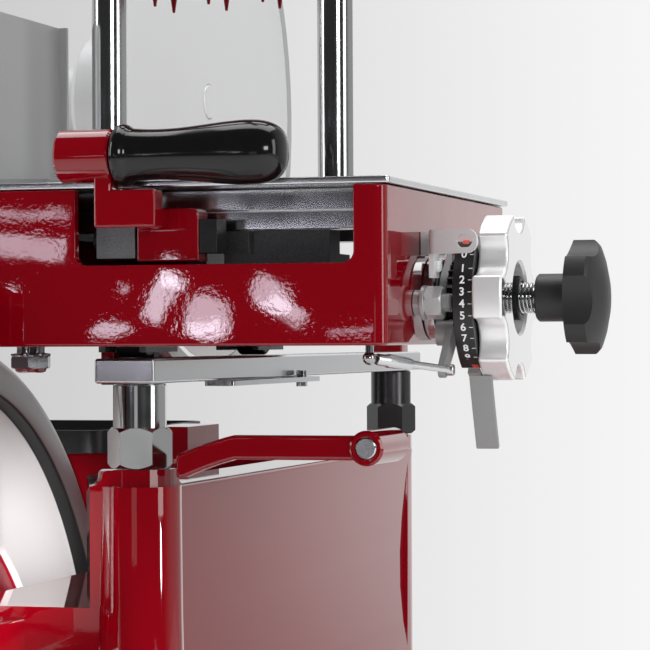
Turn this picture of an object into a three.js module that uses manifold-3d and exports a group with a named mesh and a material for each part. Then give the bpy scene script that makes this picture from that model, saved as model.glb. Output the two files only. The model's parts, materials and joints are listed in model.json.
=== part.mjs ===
// Hand cranked meat slicer with a flywheel, a sliding carriage and a ratchet feed.
// Millimetres, +Z up. X is the feed direction, away from the knife. Y is the way the carriage travels.
import * as THREE from 'three';
import { mergeVertices } from 'three/addons/utils/BufferGeometryUtils.js';
import Module from 'manifold-3d';

const wasm = await Module();
wasm.setup();

// Driving dimensions. Places are measured from the carriage's near lower corner on the dial side.
const FIT = 0.3;
const FLOOR_DROP = 445;
const DATUM_X = 164.1;
const DATUM_Y = -207.5;

const CARRIAGE_WIDTH = 205;
const CARRIAGE_LENGTH = 232;
const CARRIAGE_HEIGHT = 68;
const CARRIAGE_WALL = 5;
const CARRIAGE_CORNER = 5;
const CARRIAGE_TRAVEL = 260;
const WEB_HEIGHT = 30;
const WEB_THICKNESS = 4;
const NOTCH_MARGIN = 13.8;
const NOTCH_WIDTH = 125;
const NOTCH_FLOOR = 35;

const RAIL_X = -124;
const RAIL_WIDTH = 28;
const RAIL_HEIGHT = 11;
const RAIL_DROP = 5.4;
const RAIL_START = 20;
const RAIL_LENGTH = 474;
const POST_DIAMETER = 23.8;
const POST_HEX_FLATS = 25.2;
const POST_ROUND_HEIGHT = 19.5;
const POST_HEX_HEIGHT = 18;
const POST_INSET = [20, 18];
const NEAR_POST_Y = RAIL_START + POST_INSET[0];
const FAR_POST_Y = RAIL_START + RAIL_LENGTH - POST_INSET[1];
const BOSS_DIAMETER = 37;
const DECK_DROP = 62;

const SCREW_Y = 80;
const SCREW_Z = 20.5;
const SCREW_DIAMETER = 14;
const SCREW_TIP_DIAMETER = 10;
const FLANGE_RADIUS = 18.5;
const FLANGE_THICKNESS = 6;
const RATCHET_RADIUS = 17;
const RATCHET_THICKNESS = 5;
const RATCHET_TEETH = 24;
const RATCHET_TOOTH_DEPTH = 2;
const ROCKER_THICKNESS = 3.5;
const ROCKER_REACH = 47;
const ROCKER_ANGLE = 221.9;
const DRUM_RADIUS = 36;
const DRUM_START = 18.2;
const DRUM_WIDTH = 8.8;
const DRUM_WALL = 2.4;
const WHEEL_RADIUS = 38;
const WHEEL_THICKNESS = 13.3;
const WHEEL_LOBES = 6;
const WHEEL_LOBE_HALF_ANGLE = 14.5;
const WHEEL_VALLEY_DEPTH = 8.7;
const WHEEL_RECESS_RADIUS = 15.8;
const WHEEL_RECESS_DEPTH = 4;
const SPRING_OUTSIDE = 14;
const SPRING_WIRE = 1.1;
const SPRING_TURNS = 6;
const STAR_START = 48.7;
const STAR_HUB_RADIUS = 10.6;
const STAR_HUB_LENGTH = 13;
const STAR_RADIUS = 25.4;
const STAR_RIM = 9.4;
const STAR_BACK_SLOPE = 2.6;
const STAR_DOME = 6.6;
const STAR_VALLEY_RADIUS = 20.5;
const STAR_LOBES = 5;
const STAR_LOBE_HALF_ANGLE = 11.5;
const STAR_TURN = 3.5;

const TABLE_THICKNESS = 3;
const TABLE_TRAVEL = 70;
const COLUMN_DIAMETER = 16;
const COLUMN_HEIGHT = 190;
const COLUMN_Y = 57;
const COLUMN_NEAR_X = -37.4;
const COLUMN_FAR_X = -143.9;

const WHEEL_CENTRE_Y = 78;
const WHEEL_CENTRE_Z = -212;
const FLYWHEEL_RADIUS = 215;
const FLYWHEEL_FACE_X = -230;
const FLYWHEEL_RIM_WIDTH = 26;
const FLYWHEEL_RIM_FACE = 12.5;
const FLYWHEEL_WEB = 6;
const FLYWHEEL_DISC_RADIUS = 150;
const CRANK_THROW = 160;
const GRIP_LENGTH = 96;
const SHAFT_DIAMETER = 24;

const KNIFE_Y = 390;
const KNIFE_Z = 140;
const KNIFE_RADIUS = 150;
const KNIFE_FACE_X = -207.5;
const KNIFE_THICKNESS = 5;
const CHAIN_WIDTH = 5;
const CHAIN_HEIGHT = 7;

// Facets round a form, from the largest wheels down to pins
const FINE = 48;
const ROUND = 24;
const PLAIN = 16;
const SMALL = 10;

const rad = THREE.MathUtils.degToRad;
const polar = (radius, degrees) => new THREE.Vector2(radius * Math.cos(rad(degrees)), radius * Math.sin(rad(degrees)));

// Finishes
const finish = (color, roughness, metalness) => new THREE.MeshStandardMaterial({ color, roughness, metalness });
const enamel = finish(0x8e0a22, 0.22, 0.0);
const polished = finish(0xd4d6d8, 0.16, 1.0);
const chrome = finish(0xc6c8ca, 0.1, 1.0);
const brushed = finish(0xb9bbbd, 0.34, 1.0);
const stainless = finish(0xbfc1c3, 0.28, 1.0);
const castIron = finish(0x4a4a4c, 0.6, 0.6);
const blackSteel = finish(0x1f1f21, 0.45, 0.7);
const blackPlastic = finish(0x121214, 0.5, 0.0);
const blackEnamel = finish(0x0e0e10, 0.35, 0.0);
const rubber = finish(0x1a1a1a, 0.85, 0.0);
const bronze = finish(0xa8854a, 0.35, 1.0);
const stone = finish(0xb8b4aa, 0.9, 0.0);

// Turning a loose geometry into one closed solid
function solid(geometry) {
  const bare = geometry.clone();
  bare.deleteAttribute('normal');
  if (bare.attributes.uv) bare.deleteAttribute('uv');
  const merged = mergeVertices(bare, 1e-4);
  const corners = merged.index.array;
  const kept = [];
  for (let i = 0; i < corners.length; i += 3) {
    const [a, b, c] = [corners[i], corners[i + 1], corners[i + 2]];
    if (a !== b && b !== c && c !== a) kept.push(a, b, c);
  }
  const points = merged.attributes.position.array;
  if (signedVolume(points, kept) < 0) {
    for (let i = 0; i < kept.length; i += 3) [kept[i], kept[i + 1]] = [kept[i + 1], kept[i]];
  }
  const mesh = new wasm.Mesh({
    numProp: 3,
    vertProperties: new Float32Array(points),
    triVerts: new Uint32Array(kept),
  });
  return new wasm.Manifold(mesh);
}

function signedVolume(points, corners) {
  const [a, b, c] = [new THREE.Vector3(), new THREE.Vector3(), new THREE.Vector3()];
  let sum = 0;
  for (let i = 0; i < corners.length; i += 3) {
    a.fromArray(points, 3 * corners[i]);
    b.fromArray(points, 3 * corners[i + 1]);
    c.fromArray(points, 3 * corners[i + 2]);
    sum += a.dot(b.cross(c));
  }
  return sum / 6;
}

function geometryOf(manifold) {
  const mesh = manifold.getMesh();
  const geometry = new THREE.BufferGeometry();
  const points = [];
  for (let i = 0; i < mesh.numVert; i += 1) {
    for (let k = 0; k < 3; k += 1) points.push(mesh.vertProperties[i * mesh.numProp + k]);
  }
  geometry.setAttribute('position', new THREE.Float32BufferAttribute(points, 3));
  geometry.setIndex(Array.from(mesh.triVerts));
  geometry.computeVertexNormals();
  return geometry;
}

const join = (first, ...others) => others.reduce((sum, other) => sum.add(other), first);
const cut = (first, ...others) => others.reduce((rest, other) => rest.subtract(other), first);

// Basic forms, each placed by its lowest corner or by its axis
function block(x0, x1, y0, y1, z0, z1) {
  const box = new THREE.BoxGeometry(x1 - x0, y1 - y0, z1 - z0);
  box.translate((x0 + x1) / 2, (y0 + y1) / 2, (z0 + z1) / 2);
  return solid(box);
}

// Profiles are pairs of radius and distance along the axis
function turned(profile, segments, axis, y = 0, z = 0, x = 0) {
  const shape = profile.map(([radius, along]) => new THREE.Vector2(radius, along));
  const lathe = new THREE.LatheGeometry(shape, segments);
  if (axis === 'x') lathe.rotateZ(-Math.PI / 2);
  if (axis === 'z') lathe.rotateX(Math.PI / 2);
  lathe.translate(x, y, z);
  return solid(lathe);
}

const rod = (radius, from, to, axis, segments, y, z, x) => turned(
  [[0, from], [radius, from], [radius, to], [0, to]], segments, axis, y, z, x);
const ring = (outer, inner, from, to, axis, segments, y, z, x) => turned(
  [[inner, from], [outer, from], [outer, to], [inner, to], [inner, from]], segments, axis, y, z, x);
const chamfered = (radius, from, to, edge, axis, segments, y, z, x) => turned(
  [[0, from], [radius - edge, from], [radius, from + edge], [radius, to - edge], [radius - edge, to], [0, to]],
  segments, axis, y, z, x);

// The same outline with no two neighbouring points alike, so that its edges bevel cleanly
function distinct(shape, curveSegments) {
  const points = shape.extractPoints(curveSegments).shape;
  const kept = points.filter((p, i) => p.distanceTo(points[(i + 1) % points.length]) > 1e-3);
  return new THREE.Shape(kept);
}

// An outline drawn in Y and Z, made thick along X from one place to another
function slab(shape, from, to, edge = 0, curveSegments = 3) {
  const form = new THREE.ExtrudeGeometry(distinct(shape, curveSegments), {
    depth: to - from - 2 * edge,
    bevelEnabled: edge > 0,
    bevelThickness: edge,
    bevelSize: edge,
    bevelOffset: -edge,
    bevelSegments: 1,
  });
  form.applyMatrix4(new THREE.Matrix4().set(0, 0, 1, from + edge, 1, 0, 0, 0, 0, 1, 0, 0, 0, 0, 0, 1));
  return solid(form);
}

// An outline drawn in X and Y, made thick along Z
function plate(shape, from, to, edge = 0, curveSegments = 2) {
  const form = new THREE.ExtrudeGeometry(distinct(shape, curveSegments), {
    depth: to - from - 2 * edge,
    bevelEnabled: edge > 0,
    bevelThickness: edge,
    bevelSize: edge,
    bevelOffset: -edge,
    bevelSegments: 1,
  });
  form.translate(0, 0, from + edge);
  return solid(form);
}

// An outline drawn in X and Z, made thick along Y
function panel(shape, from, to, curveSegments = 3) {
  const form = new THREE.ExtrudeGeometry(distinct(shape, curveSegments), { depth: to - from, bevelEnabled: false });
  form.rotateX(Math.PI / 2);
  form.translate(0, to, 0);
  return solid(form);
}

function roundedRectangle(x0, x1, y0, y1, radius) {
  const shape = new THREE.Shape();
  shape.moveTo(x0 + radius, y0);
  shape.absarc(x1 - radius, y0 + radius, radius, -Math.PI / 2, 0);
  shape.absarc(x1 - radius, y1 - radius, radius, 0, Math.PI / 2);
  shape.absarc(x0 + radius, y1 - radius, radius, Math.PI / 2, Math.PI);
  shape.absarc(x0 + radius, y0 + radius, radius, Math.PI, 1.5 * Math.PI);
  return shape;
}

// The outline of a flat bar whose two round ends have their own radii
function taperedBar(from, to, radiusFrom, radiusTo) {
  const along = new THREE.Vector2().subVectors(to, from);
  const lean = Math.asin((radiusFrom - radiusTo) / along.length());
  const heading = along.angle();
  const shape = new THREE.Shape();
  shape.absarc(from.x, from.y, radiusFrom, heading + Math.PI / 2 - lean, heading - Math.PI / 2 + lean);
  shape.absarc(to.x, to.y, radiusTo, heading - Math.PI / 2 + lean, heading + Math.PI / 2 - lean);
  return shape;
}

const machine = new THREE.Group();
machine.position.set(DATUM_X, DATUM_Y, FLOOR_DROP);

function add(name, form, material) {
  const mesh = new THREE.Mesh(geometryOf(form), material);
  mesh.name = name;
  machine.add(mesh);
  return form;
}

// Base casting: a hollow body that is slim under the rail and spreads towards its feet
const FOOT_HEIGHT = 14;
const BASE_WALL = 7;
const BASE_LEFT = -213;
const BASE_RIGHT = -107;
const BASE_NEAR = 26;
const BASE_FAR = 492;
const BASE_SPREAD_RIGHT = 88;
const BASE_SPREAD_ENDS = 34;
const BASE_SECTION_CORNER = 22;
const baseBottom = -FLOOR_DROP + FOOT_HEIGHT;
const baseTop = -DECK_DROP;

function baseSection(z, inset) {
  const drop = (baseTop - z) / (baseTop - baseBottom);
  const spread = Math.pow(Math.min(Math.max(drop, 0), 1), 3);
  const waist = 4 * Math.sin(Math.PI * Math.min(Math.max(drop, 0), 0.5) * 2);
  return {
    x0: BASE_LEFT + inset,
    x1: BASE_RIGHT + BASE_SPREAD_RIGHT * spread - waist - inset,
    y0: BASE_NEAR - BASE_SPREAD_ENDS * spread + waist + inset,
    y1: BASE_FAR + BASE_SPREAD_ENDS * spread - waist - inset,
    corner: BASE_SECTION_CORNER - inset,
  };
}

// A body through a stack of rounded rectangles, closed at both ends
function lofted(levels, sectionAt) {
  const cornerSteps = 4;
  const points = [];
  for (const z of levels) {
    const s = sectionAt(z);
    const centres = [[s.x1, s.y1, 0], [s.x0, s.y1, 90], [s.x0, s.y0, 180], [s.x1, s.y0, 270]];
    for (const [x, y, start] of centres) {
      const cx = x - Math.sign(x - (s.x0 + s.x1) / 2) * s.corner;
      const cy = y - Math.sign(y - (s.y0 + s.y1) / 2) * s.corner;
      for (let i = 0; i <= cornerSteps; i += 1) {
        const p = polar(s.corner, start + (90 * i) / cornerSteps);
        points.push(cx + p.x, cy + p.y, z);
      }
    }
  }
  const around = 4 * (cornerSteps + 1);
  const faces = [];
  for (let j = 0; j < levels.length - 1; j += 1) {
    for (let i = 0; i < around; i += 1) {
      const a = j * around + i;
      const b = j * around + ((i + 1) % around);
      faces.push(a, b, b + around, a, b + around, a + around);
    }
  }
  const last = (levels.length - 1) * around;
  for (let i = 1; i < around - 1; i += 1) {
    faces.push(0, i + 1, i);
    faces.push(last, last + i, last + i + 1);
  }
  const geometry = new THREE.BufferGeometry();
  geometry.setAttribute('position', new THREE.Float32BufferAttribute(points, 3));
  geometry.setIndex(faces);
  return solid(geometry);
}

const levelsBetween = (low, high, count) => Array.from(
  { length: count + 1 }, (_, i) => low + ((high - low) * i) / count);

// The rocker that carries the crank's motion to the carriage
const ROCKER_PIVOT_Y = 255;
const ROCKER_PIVOT_Z = -404;
const DRIVE_PIN_Y = ROCKER_PIVOT_Y - CARRIAGE_TRAVEL / 2;
const DRIVE_PIN_Z = -12;
const DRIVE_PIN_RADIUS = 6;
const ROCKER_X = -160;
const ROCKER_ARM_THICKNESS = 10;
const ROCKER_SLOT_PLAY = 2.2;
const ROCKER_PIVOT_RADIUS = 6;
const DECK_SLOT_END = 41;
const rockerLean = Math.atan((ROCKER_PIVOT_Y - DRIVE_PIN_Y) / (DRIVE_PIN_Z - ROCKER_PIVOT_Z));

// Guide rod for the knife side of the carriage, on two brackets that rise from the deck
const GUIDE_X = -188;
const GUIDE_Z = 14;
const GUIDE_RADIUS = 8;
const GUIDE_START = -32;
const GUIDE_END = 516;
const BRACKET_THICKNESS = 16;
const BRACKET_WIDTH = 18;
const BRACKET_EYE = 13;
const BRACKET_ARM = 10;
const BRACKET_FOOT = 6;
const NEAR_BRACKET_X = GUIDE_X + 4;
const FAR_BRACKET_X = RAIL_X - 8;

const BRACKET_ROOT = 14;
function rodBracket(outerY, innerY, footY, postX) {
  const [y0, y1] = [Math.min(outerY, innerY), Math.max(outerY, innerY)];
  const [f0, f1] = [Math.min(outerY, footY), Math.max(outerY, footY)];
  const [x0, x1] = [postX - BRACKET_WIDTH / 2, postX + BRACKET_WIDTH / 2];
  const upright = block(x0, x1, y0, y1, baseTop - BRACKET_ROOT, GUIDE_Z + BRACKET_ARM);
  const arm = block(GUIDE_X, postX, y0, y1, GUIDE_Z - BRACKET_ARM, GUIDE_Z + BRACKET_ARM);
  const eye = rod(BRACKET_EYE, y0, y1, 'y', PLAIN, 0, GUIDE_Z, GUIDE_X);
  const foot = block(x0, x1, f0, f1, baseTop - BRACKET_ROOT, baseTop + BRACKET_FOOT);
  return join(upright, arm, eye, foot);
}

const BEARING_FROM = -226;
const BEARING_TO = -205;
const LAY_Z = -150;
const LAY_RADIUS = 9;
const shaftBore = rod(SHAFT_DIAMETER / 2 + FIT, BEARING_FROM - 10, BEARING_TO + 10, 'x', PLAIN, WHEEL_CENTRE_Y, WHEEL_CENTRE_Z, 0);
const layBore = rod(LAY_RADIUS + FIT, BEARING_FROM - 10, BEARING_TO + 10, 'x', PLAIN, KNIFE_Y, LAY_Z, 0);

const outerBase = lofted(levelsBetween(baseBottom, baseTop, 7), (z) => baseSection(z, 0));
const innerBase = lofted(
  levelsBetween(baseBottom, baseTop - BASE_WALL, 6).map((z, i) => (i === 0 ? z - 1 : z)),
  (z) => baseSection(z, BASE_WALL));
const postBoss = (y) => turned(
  [[0, -230], [BOSS_DIAMETER / 2 + 4, -230], [BOSS_DIAMETER / 2, -110],
    [BOSS_DIAMETER / 2, bossTop - 2], [BOSS_DIAMETER / 2 - 2, bossTop], [0, bossTop]],
  PLAIN, 'z', y, 0, RAIL_X);
const bossTop = -RAIL_DROP - RAIL_HEIGHT - POST_ROUND_HEIGHT - POST_HEX_HEIGHT - 3 * FIT;
const bearingBoss = rod(30, BEARING_FROM, BEARING_TO, 'x', PLAIN, WHEEL_CENTRE_Y, WHEEL_CENTRE_Z, 0);
const rockerLugs = [-14, 14].map((side) => {
  const x = ROCKER_X + ROCKER_ARM_THICKNESS / 2 + side;
  return block(x - 5, x + 5, ROCKER_PIVOT_Y - 16, ROCKER_PIVOT_Y + 16, baseBottom, ROCKER_PIVOT_Z + 16);
});
const lugTie = block(BASE_LEFT + BASE_WALL - 1, -60, ROCKER_PIVOT_Y - 16, ROCKER_PIVOT_Y + 16,
  baseBottom, baseBottom + 9);
const deckSlot = block(ROCKER_X - 6, ROCKER_X + ROCKER_ARM_THICKNESS + 12,
  DRIVE_PIN_Y - DECK_SLOT_END, DRIVE_PIN_Y + CARRIAGE_TRAVEL + DECK_SLOT_END, baseTop - BASE_WALL * 2, 0);

const footX = [BASE_LEFT + 26, BASE_RIGHT + BASE_SPREAD_RIGHT - 30];
const footY = [BASE_NEAR - BASE_SPREAD_ENDS + 30, BASE_FAR + BASE_SPREAD_ENDS - 30];
const footPads = footX.flatMap((x) => footY.map(
  (y) => rod(24, baseBottom, baseBottom + 10, 'z', PLAIN, y, 0, x).intersect(outerBase)));

let base = join(outerBase, postBoss(NEAR_POST_Y), postBoss(FAR_POST_Y));
base = cut(base, innerBase);
base = join(base, rodBracket(GUIDE_START + 2, GUIDE_START + 2 + BRACKET_THICKNESS, BASE_NEAR + 20, NEAR_BRACKET_X));
base = join(base, rodBracket(GUIDE_END - 2, GUIDE_END - 2 - BRACKET_THICKNESS, BASE_FAR - 20, FAR_BRACKET_X));
base = join(base, bearingBoss, lugTie, ...rockerLugs, ...footPads);
base = cut(base, deckSlot, shaftBore, layBore);
base = cut(base, rod(GUIDE_RADIUS + FIT, GUIDE_START - 20, GUIDE_END + 14, 'y', PLAIN, 0, GUIDE_Z, GUIDE_X));
base = cut(base, rod(ROCKER_PIVOT_RADIUS + FIT, -200, -60, 'x', PLAIN, ROCKER_PIVOT_Y, ROCKER_PIVOT_Z, 0));
add('base_casting', base, enamel);

const footProfile = [[0, -FLOOR_DROP], [15, -FLOOR_DROP], [17, -FLOOR_DROP + 2],
  [20, baseBottom - FIT], [8, baseBottom - FIT], [0, baseBottom - FIT]];
add('foot_near_knife_side', turned(footProfile, SMALL, 'z', footY[0], 0, footX[0]), rubber);
add('foot_near_dial_side', turned(footProfile, SMALL, 'z', footY[0], 0, footX[1]), rubber);
add('foot_far_knife_side', turned(footProfile, SMALL, 'z', footY[1], 0, footX[0]), rubber);
add('foot_far_dial_side', turned(footProfile, SMALL, 'z', footY[1], 0, footX[1]), rubber);

// The carriage's rail on its two turned posts
const railBottom = -RAIL_DROP - RAIL_HEIGHT;
const railOutline = roundedRectangle(
  RAIL_X - RAIL_WIDTH / 2, RAIL_X + RAIL_WIDTH / 2, RAIL_START, RAIL_START + RAIL_LENGTH, 1.5);
add('rail', plate(railOutline, railBottom, -RAIL_DROP, 0.8), polished);

const postTop = railBottom - FIT;
const hexTop = postTop - POST_ROUND_HEIGHT;
const hexBottom = hexTop - POST_HEX_HEIGHT;
function railPost(y) {
  const corner = POST_HEX_FLATS / Math.sqrt(3);
  const round = chamfered(POST_DIAMETER / 2, hexTop - 4, postTop, 0.8, 'z', PLAIN, y, 0, RAIL_X);
  const hex = rod(corner, hexBottom, hexTop, 'z', 6, y, 0, RAIL_X);
  const cap = turned(
    [[0, hexBottom], [corner - 1.5, hexBottom], [corner, hexBottom + 1.8], [corner, hexTop - 3.2],
      [POST_DIAMETER / 2, hexTop], [0, hexTop]], PLAIN, 'z', y, 0, RAIL_X);
  return join(round, hex.intersect(cap));
}
add('near_post', railPost(NEAR_POST_Y), chrome);
add('far_post', railPost(FAR_POST_Y), chrome);

const CATCH_START = 111;
const CATCH_LENGTH = 144;
const CATCH_THICKNESS = 2.4;
const catchTop = railBottom - FIT;
const catchScrewY = CATCH_START + CATCH_LENGTH - 22;
const catchX = RAIL_X + RAIL_WIDTH / 2;
add('catch_plate', join(
  plate(roundedRectangle(catchX - 8, catchX + 7, CATCH_START, CATCH_START + CATCH_LENGTH, 2),
    catchTop - CATCH_THICKNESS, catchTop),
  rod(2.8, catchTop - 0.5, catchTop + 3.4, 'z', SMALL, catchScrewY, 0, catchX + 3.4),
  rod(3, catchTop - CATCH_THICKNESS - 2.4, catchTop - 1, 'z', 6, catchScrewY, 0, catchX + 3.4)), polished);

// Arm beside the near post, whose screw stops the feed lever
const ARM_Z = -44.6;
const ARM_HEIGHT = 10.8;
const ARM_ROOT_HEIGHT = 21;
const ARM_Y = 34;
const ARM_THICKNESS = 10;
const ARM_HUB_X = -17.5;
const ARM_HUB_RADIUS = 7.7;
const ARM_HUB_LENGTH = 46;
const STOP_SCREW_RADIUS = 4.7;
const armRoot = RAIL_X + BOSS_DIAMETER / 2 + FIT;
const armShape = new THREE.Shape();
armShape.moveTo(armRoot, ARM_Z - ARM_ROOT_HEIGHT);
armShape.lineTo(armRoot + 6, ARM_Z - ARM_ROOT_HEIGHT);
armShape.quadraticCurveTo(armRoot + 12, ARM_Z - ARM_ROOT_HEIGHT / 2, armRoot + 24, ARM_Z - ARM_HEIGHT / 2);
armShape.lineTo(ARM_HUB_X, ARM_Z - ARM_HEIGHT / 2);
armShape.lineTo(ARM_HUB_X, ARM_Z + ARM_HEIGHT / 2);
armShape.lineTo(armRoot + 14, ARM_Z + ARM_HEIGHT / 2);
armShape.quadraticCurveTo(armRoot + 5, ARM_Z + ARM_HEIGHT / 2, armRoot, ARM_Z - 1);
add('feed_stop_arm', cut(
  join(panel(armShape, ARM_Y, ARM_Y + ARM_THICKNESS),
    chamfered(ARM_HUB_RADIUS, ARM_Y - 2, ARM_Y - 2 + ARM_HUB_LENGTH, 0.8, 'y', PLAIN, 0, ARM_Z, ARM_HUB_X)),
  rod(STOP_SCREW_RADIUS + FIT, 0, 100, 'y', PLAIN, 0, ARM_Z, ARM_HUB_X)), enamel);
add('feed_stop_screw', cut(
  chamfered(STOP_SCREW_RADIUS, ARM_Y - 2.4, ARM_Y + ARM_HUB_LENGTH, 0.6, 'y', PLAIN, 0, ARM_Z, ARM_HUB_X),
  block(ARM_HUB_X - 6, ARM_HUB_X + 6, ARM_Y - 4, ARM_Y - 1, ARM_Z - 0.6, ARM_Z + 0.6)), brushed);

add('guide_rod', chamfered(GUIDE_RADIUS, GUIDE_START, GUIDE_END, 1, 'y', PLAIN, 0, GUIDE_Z, GUIDE_X), polished);

// Flywheel and its shaft, with the crank that works the rocker
const CRANK_DISC_FROM = -180;
const CRANK_DISC_TO = -170;
const CRANK_DISC_RADIUS = 42;
const CRANK_PIN_THROW = 32;
const CHAIN_FROM = -202;
const CHAIN_TO = CHAIN_FROM + CHAIN_WIDTH;
const DRIVE_SPROCKET = 32;
const LAY_SPROCKET = 20;

function toothedWheel(outside, depth, teeth, from, to, y, z) {
  const shape = new THREE.Shape();
  for (let i = 0; i < teeth; i += 1) {
    const step = 360 / teeth;
    const corners = [[outside - depth, -0.32], [outside, -0.16], [outside, 0.16], [outside - depth, 0.32]];
    for (const [radius, share] of corners) {
      const p = polar(radius, (i + share) * step);
      if (i === 0 && share === -0.32) shape.moveTo(p.x, p.y);
      else shape.lineTo(p.x, p.y);
    }
  }
  return slab(shape, from, to).translate([0, y, z]);
}

const SHAFT_OUTER_END = -262;
const hubFace = FLYWHEEL_FACE_X - 9.4;
add('main_shaft', join(
  chamfered(SHAFT_DIAMETER / 2, SHAFT_OUTER_END, CRANK_DISC_FROM + 2, 1, 'x', PLAIN,
    WHEEL_CENTRE_Y, WHEEL_CENTRE_Z, 0),
  rod(CRANK_DISC_RADIUS, CRANK_DISC_FROM, CRANK_DISC_TO - 2, 'x', PLAIN, WHEEL_CENTRE_Y, WHEEL_CENTRE_Z, 0),
  rod(8, CRANK_DISC_TO - 3, CRANK_DISC_TO, 'x', SMALL, WHEEL_CENTRE_Y - CRANK_PIN_THROW, WHEEL_CENTRE_Z, 0),
  toothedWheel(DRIVE_SPROCKET, 4, 20, CHAIN_FROM, CHAIN_TO, WHEEL_CENTRE_Y, WHEEL_CENTRE_Z)), brushed);

const rimInside = FLYWHEEL_RADIUS - FLYWHEEL_RIM_FACE;
const webFace = FLYWHEEL_FACE_X - 9.4;
const webBack = webFace - FLYWHEEL_WEB;
const rimBack = FLYWHEEL_FACE_X - FLYWHEEL_RIM_WIDTH;
const hubRadius = 30;
const hubBack = webBack - 10;
add('flywheel', turned([
  [SHAFT_DIAMETER / 2 + FIT, hubFace + 6], [hubRadius, hubFace + 6], [hubRadius, webFace],
  [FLYWHEEL_DISC_RADIUS - 6, webFace], [FLYWHEEL_DISC_RADIUS, webFace - 2],
  [rimInside - 8, webFace - 2], [rimInside, webFace + 3],
  [rimInside, FLYWHEEL_FACE_X - 0.8], [rimInside + 0.8, FLYWHEEL_FACE_X],
  [FLYWHEEL_RADIUS - 2, FLYWHEEL_FACE_X], [FLYWHEEL_RADIUS, FLYWHEEL_FACE_X - 2],
  [FLYWHEEL_RADIUS, rimBack + 2], [FLYWHEEL_RADIUS - 2, rimBack], [rimInside, rimBack],
  [rimInside, webBack], [hubRadius, webBack], [hubRadius, hubBack],
  [SHAFT_DIAMETER / 2 + FIT, hubBack], [SHAFT_DIAMETER / 2 + FIT, hubFace + 6]],
FINE, 'x', WHEEL_CENTRE_Y, WHEEL_CENTRE_Z, 0), polished);

const PIN_RADIUS = 6;
const gripY = WHEEL_CENTRE_Y - CRANK_THROW;
const gripStart = webBack - 8;
add('crank_pin', join(
  rod(PIN_RADIUS, gripStart - GRIP_LENGTH - 4, webBack - FIT, 'x', PLAIN, gripY, WHEEL_CENTRE_Z, 0),
  chamfered(11, gripStart + 0.5, webBack - FIT, 1, 'x', PLAIN, gripY, WHEEL_CENTRE_Z, 0),
  chamfered(9, gripStart - GRIP_LENGTH - 8, gripStart - GRIP_LENGTH - FIT - 0.4, 1, 'x', PLAIN, gripY,
    WHEEL_CENTRE_Z, 0)), brushed);
const gripForm = [[12, 0], [15, -6], [12.5, -16], [14, -40], [17, -66], [15.5, -86], [11, -GRIP_LENGTH]];
add('crank_grip', turned([
  [PIN_RADIUS + FIT, gripStart], ...gripForm.map(([r, s]) => [r, gripStart + s]),
  [PIN_RADIUS + FIT, gripStart - GRIP_LENGTH], [PIN_RADIUS + FIT, gripStart]],
PLAIN, 'x', gripY, WHEEL_CENTRE_Z, 0), blackPlastic);

// Chain inside the base, a lay shaft, and an upright shaft that turns the knife
const UPRIGHT_X = -252;
const UPRIGHT_RADIUS = 7;
const BEVEL_SMALL = 12;
const BEVEL_LARGE = 18;
const KNIFE_SHAFT_RADIUS = 10;
const centreMain = new THREE.Vector2(WHEEL_CENTRE_Y, WHEEL_CENTRE_Z);
const centreLay = new THREE.Vector2(KNIFE_Y, LAY_Z);
const chainRing = (extra) => taperedBar(centreMain, centreLay, DRIVE_SPROCKET + extra, LAY_SPROCKET + extra);
add('chain', cut(
  slab(chainRing(FIT + CHAIN_HEIGHT), CHAIN_FROM, CHAIN_TO, 0, 7),
  slab(chainRing(FIT), CHAIN_FROM - 1, CHAIN_TO + 1, 0, 7)), blackSteel);
const bevelAcross = (z, from) => turned(
  [[0, from], [BEVEL_SMALL - FIT, from], [BEVEL_LARGE - FIT, from + BEVEL_LARGE - BEVEL_SMALL],
    [BEVEL_LARGE - 2, from + BEVEL_LARGE - BEVEL_SMALL + 2], [0, from + BEVEL_LARGE - BEVEL_SMALL + 2]],
  PLAIN, 'x', KNIFE_Y, z, 0);
add('lay_shaft', join(
  chamfered(LAY_RADIUS, UPRIGHT_X - 6, CHAIN_TO + 6, 0.8, 'x', PLAIN, KNIFE_Y, LAY_Z, 0),
  toothedWheel(LAY_SPROCKET, 3, 12, CHAIN_FROM, CHAIN_TO, KNIFE_Y, LAY_Z),
  bevelAcross(LAY_Z, UPRIGHT_X + BEVEL_SMALL)), brushed);
const lowBevel = LAY_Z + BEVEL_SMALL;
const highBevel = KNIFE_Z - BEVEL_SMALL;
add('upright_shaft', turned([
  [0, lowBevel], [BEVEL_SMALL - FIT, lowBevel], [BEVEL_LARGE - FIT, lowBevel + 6], [BEVEL_LARGE - 4, lowBevel + 11],
  [UPRIGHT_RADIUS, lowBevel + 11], [UPRIGHT_RADIUS, highBevel - 11], [BEVEL_LARGE - 4, highBevel - 11],
  [BEVEL_LARGE - FIT, highBevel - 6], [BEVEL_SMALL - FIT, highBevel], [0, highBevel]],
PLAIN, 'z', KNIFE_Y, 0, UPRIGHT_X), brushed);
const knifeShaftStart = UPRIGHT_X - 42;
add('knife_shaft', join(
  chamfered(KNIFE_SHAFT_RADIUS, knifeShaftStart, KNIFE_FACE_X - 0.6, 0.8, 'x', PLAIN, KNIFE_Y, KNIFE_Z, 0),
  bevelAcross(KNIFE_Z, UPRIGHT_X + BEVEL_SMALL)), brushed);

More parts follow.
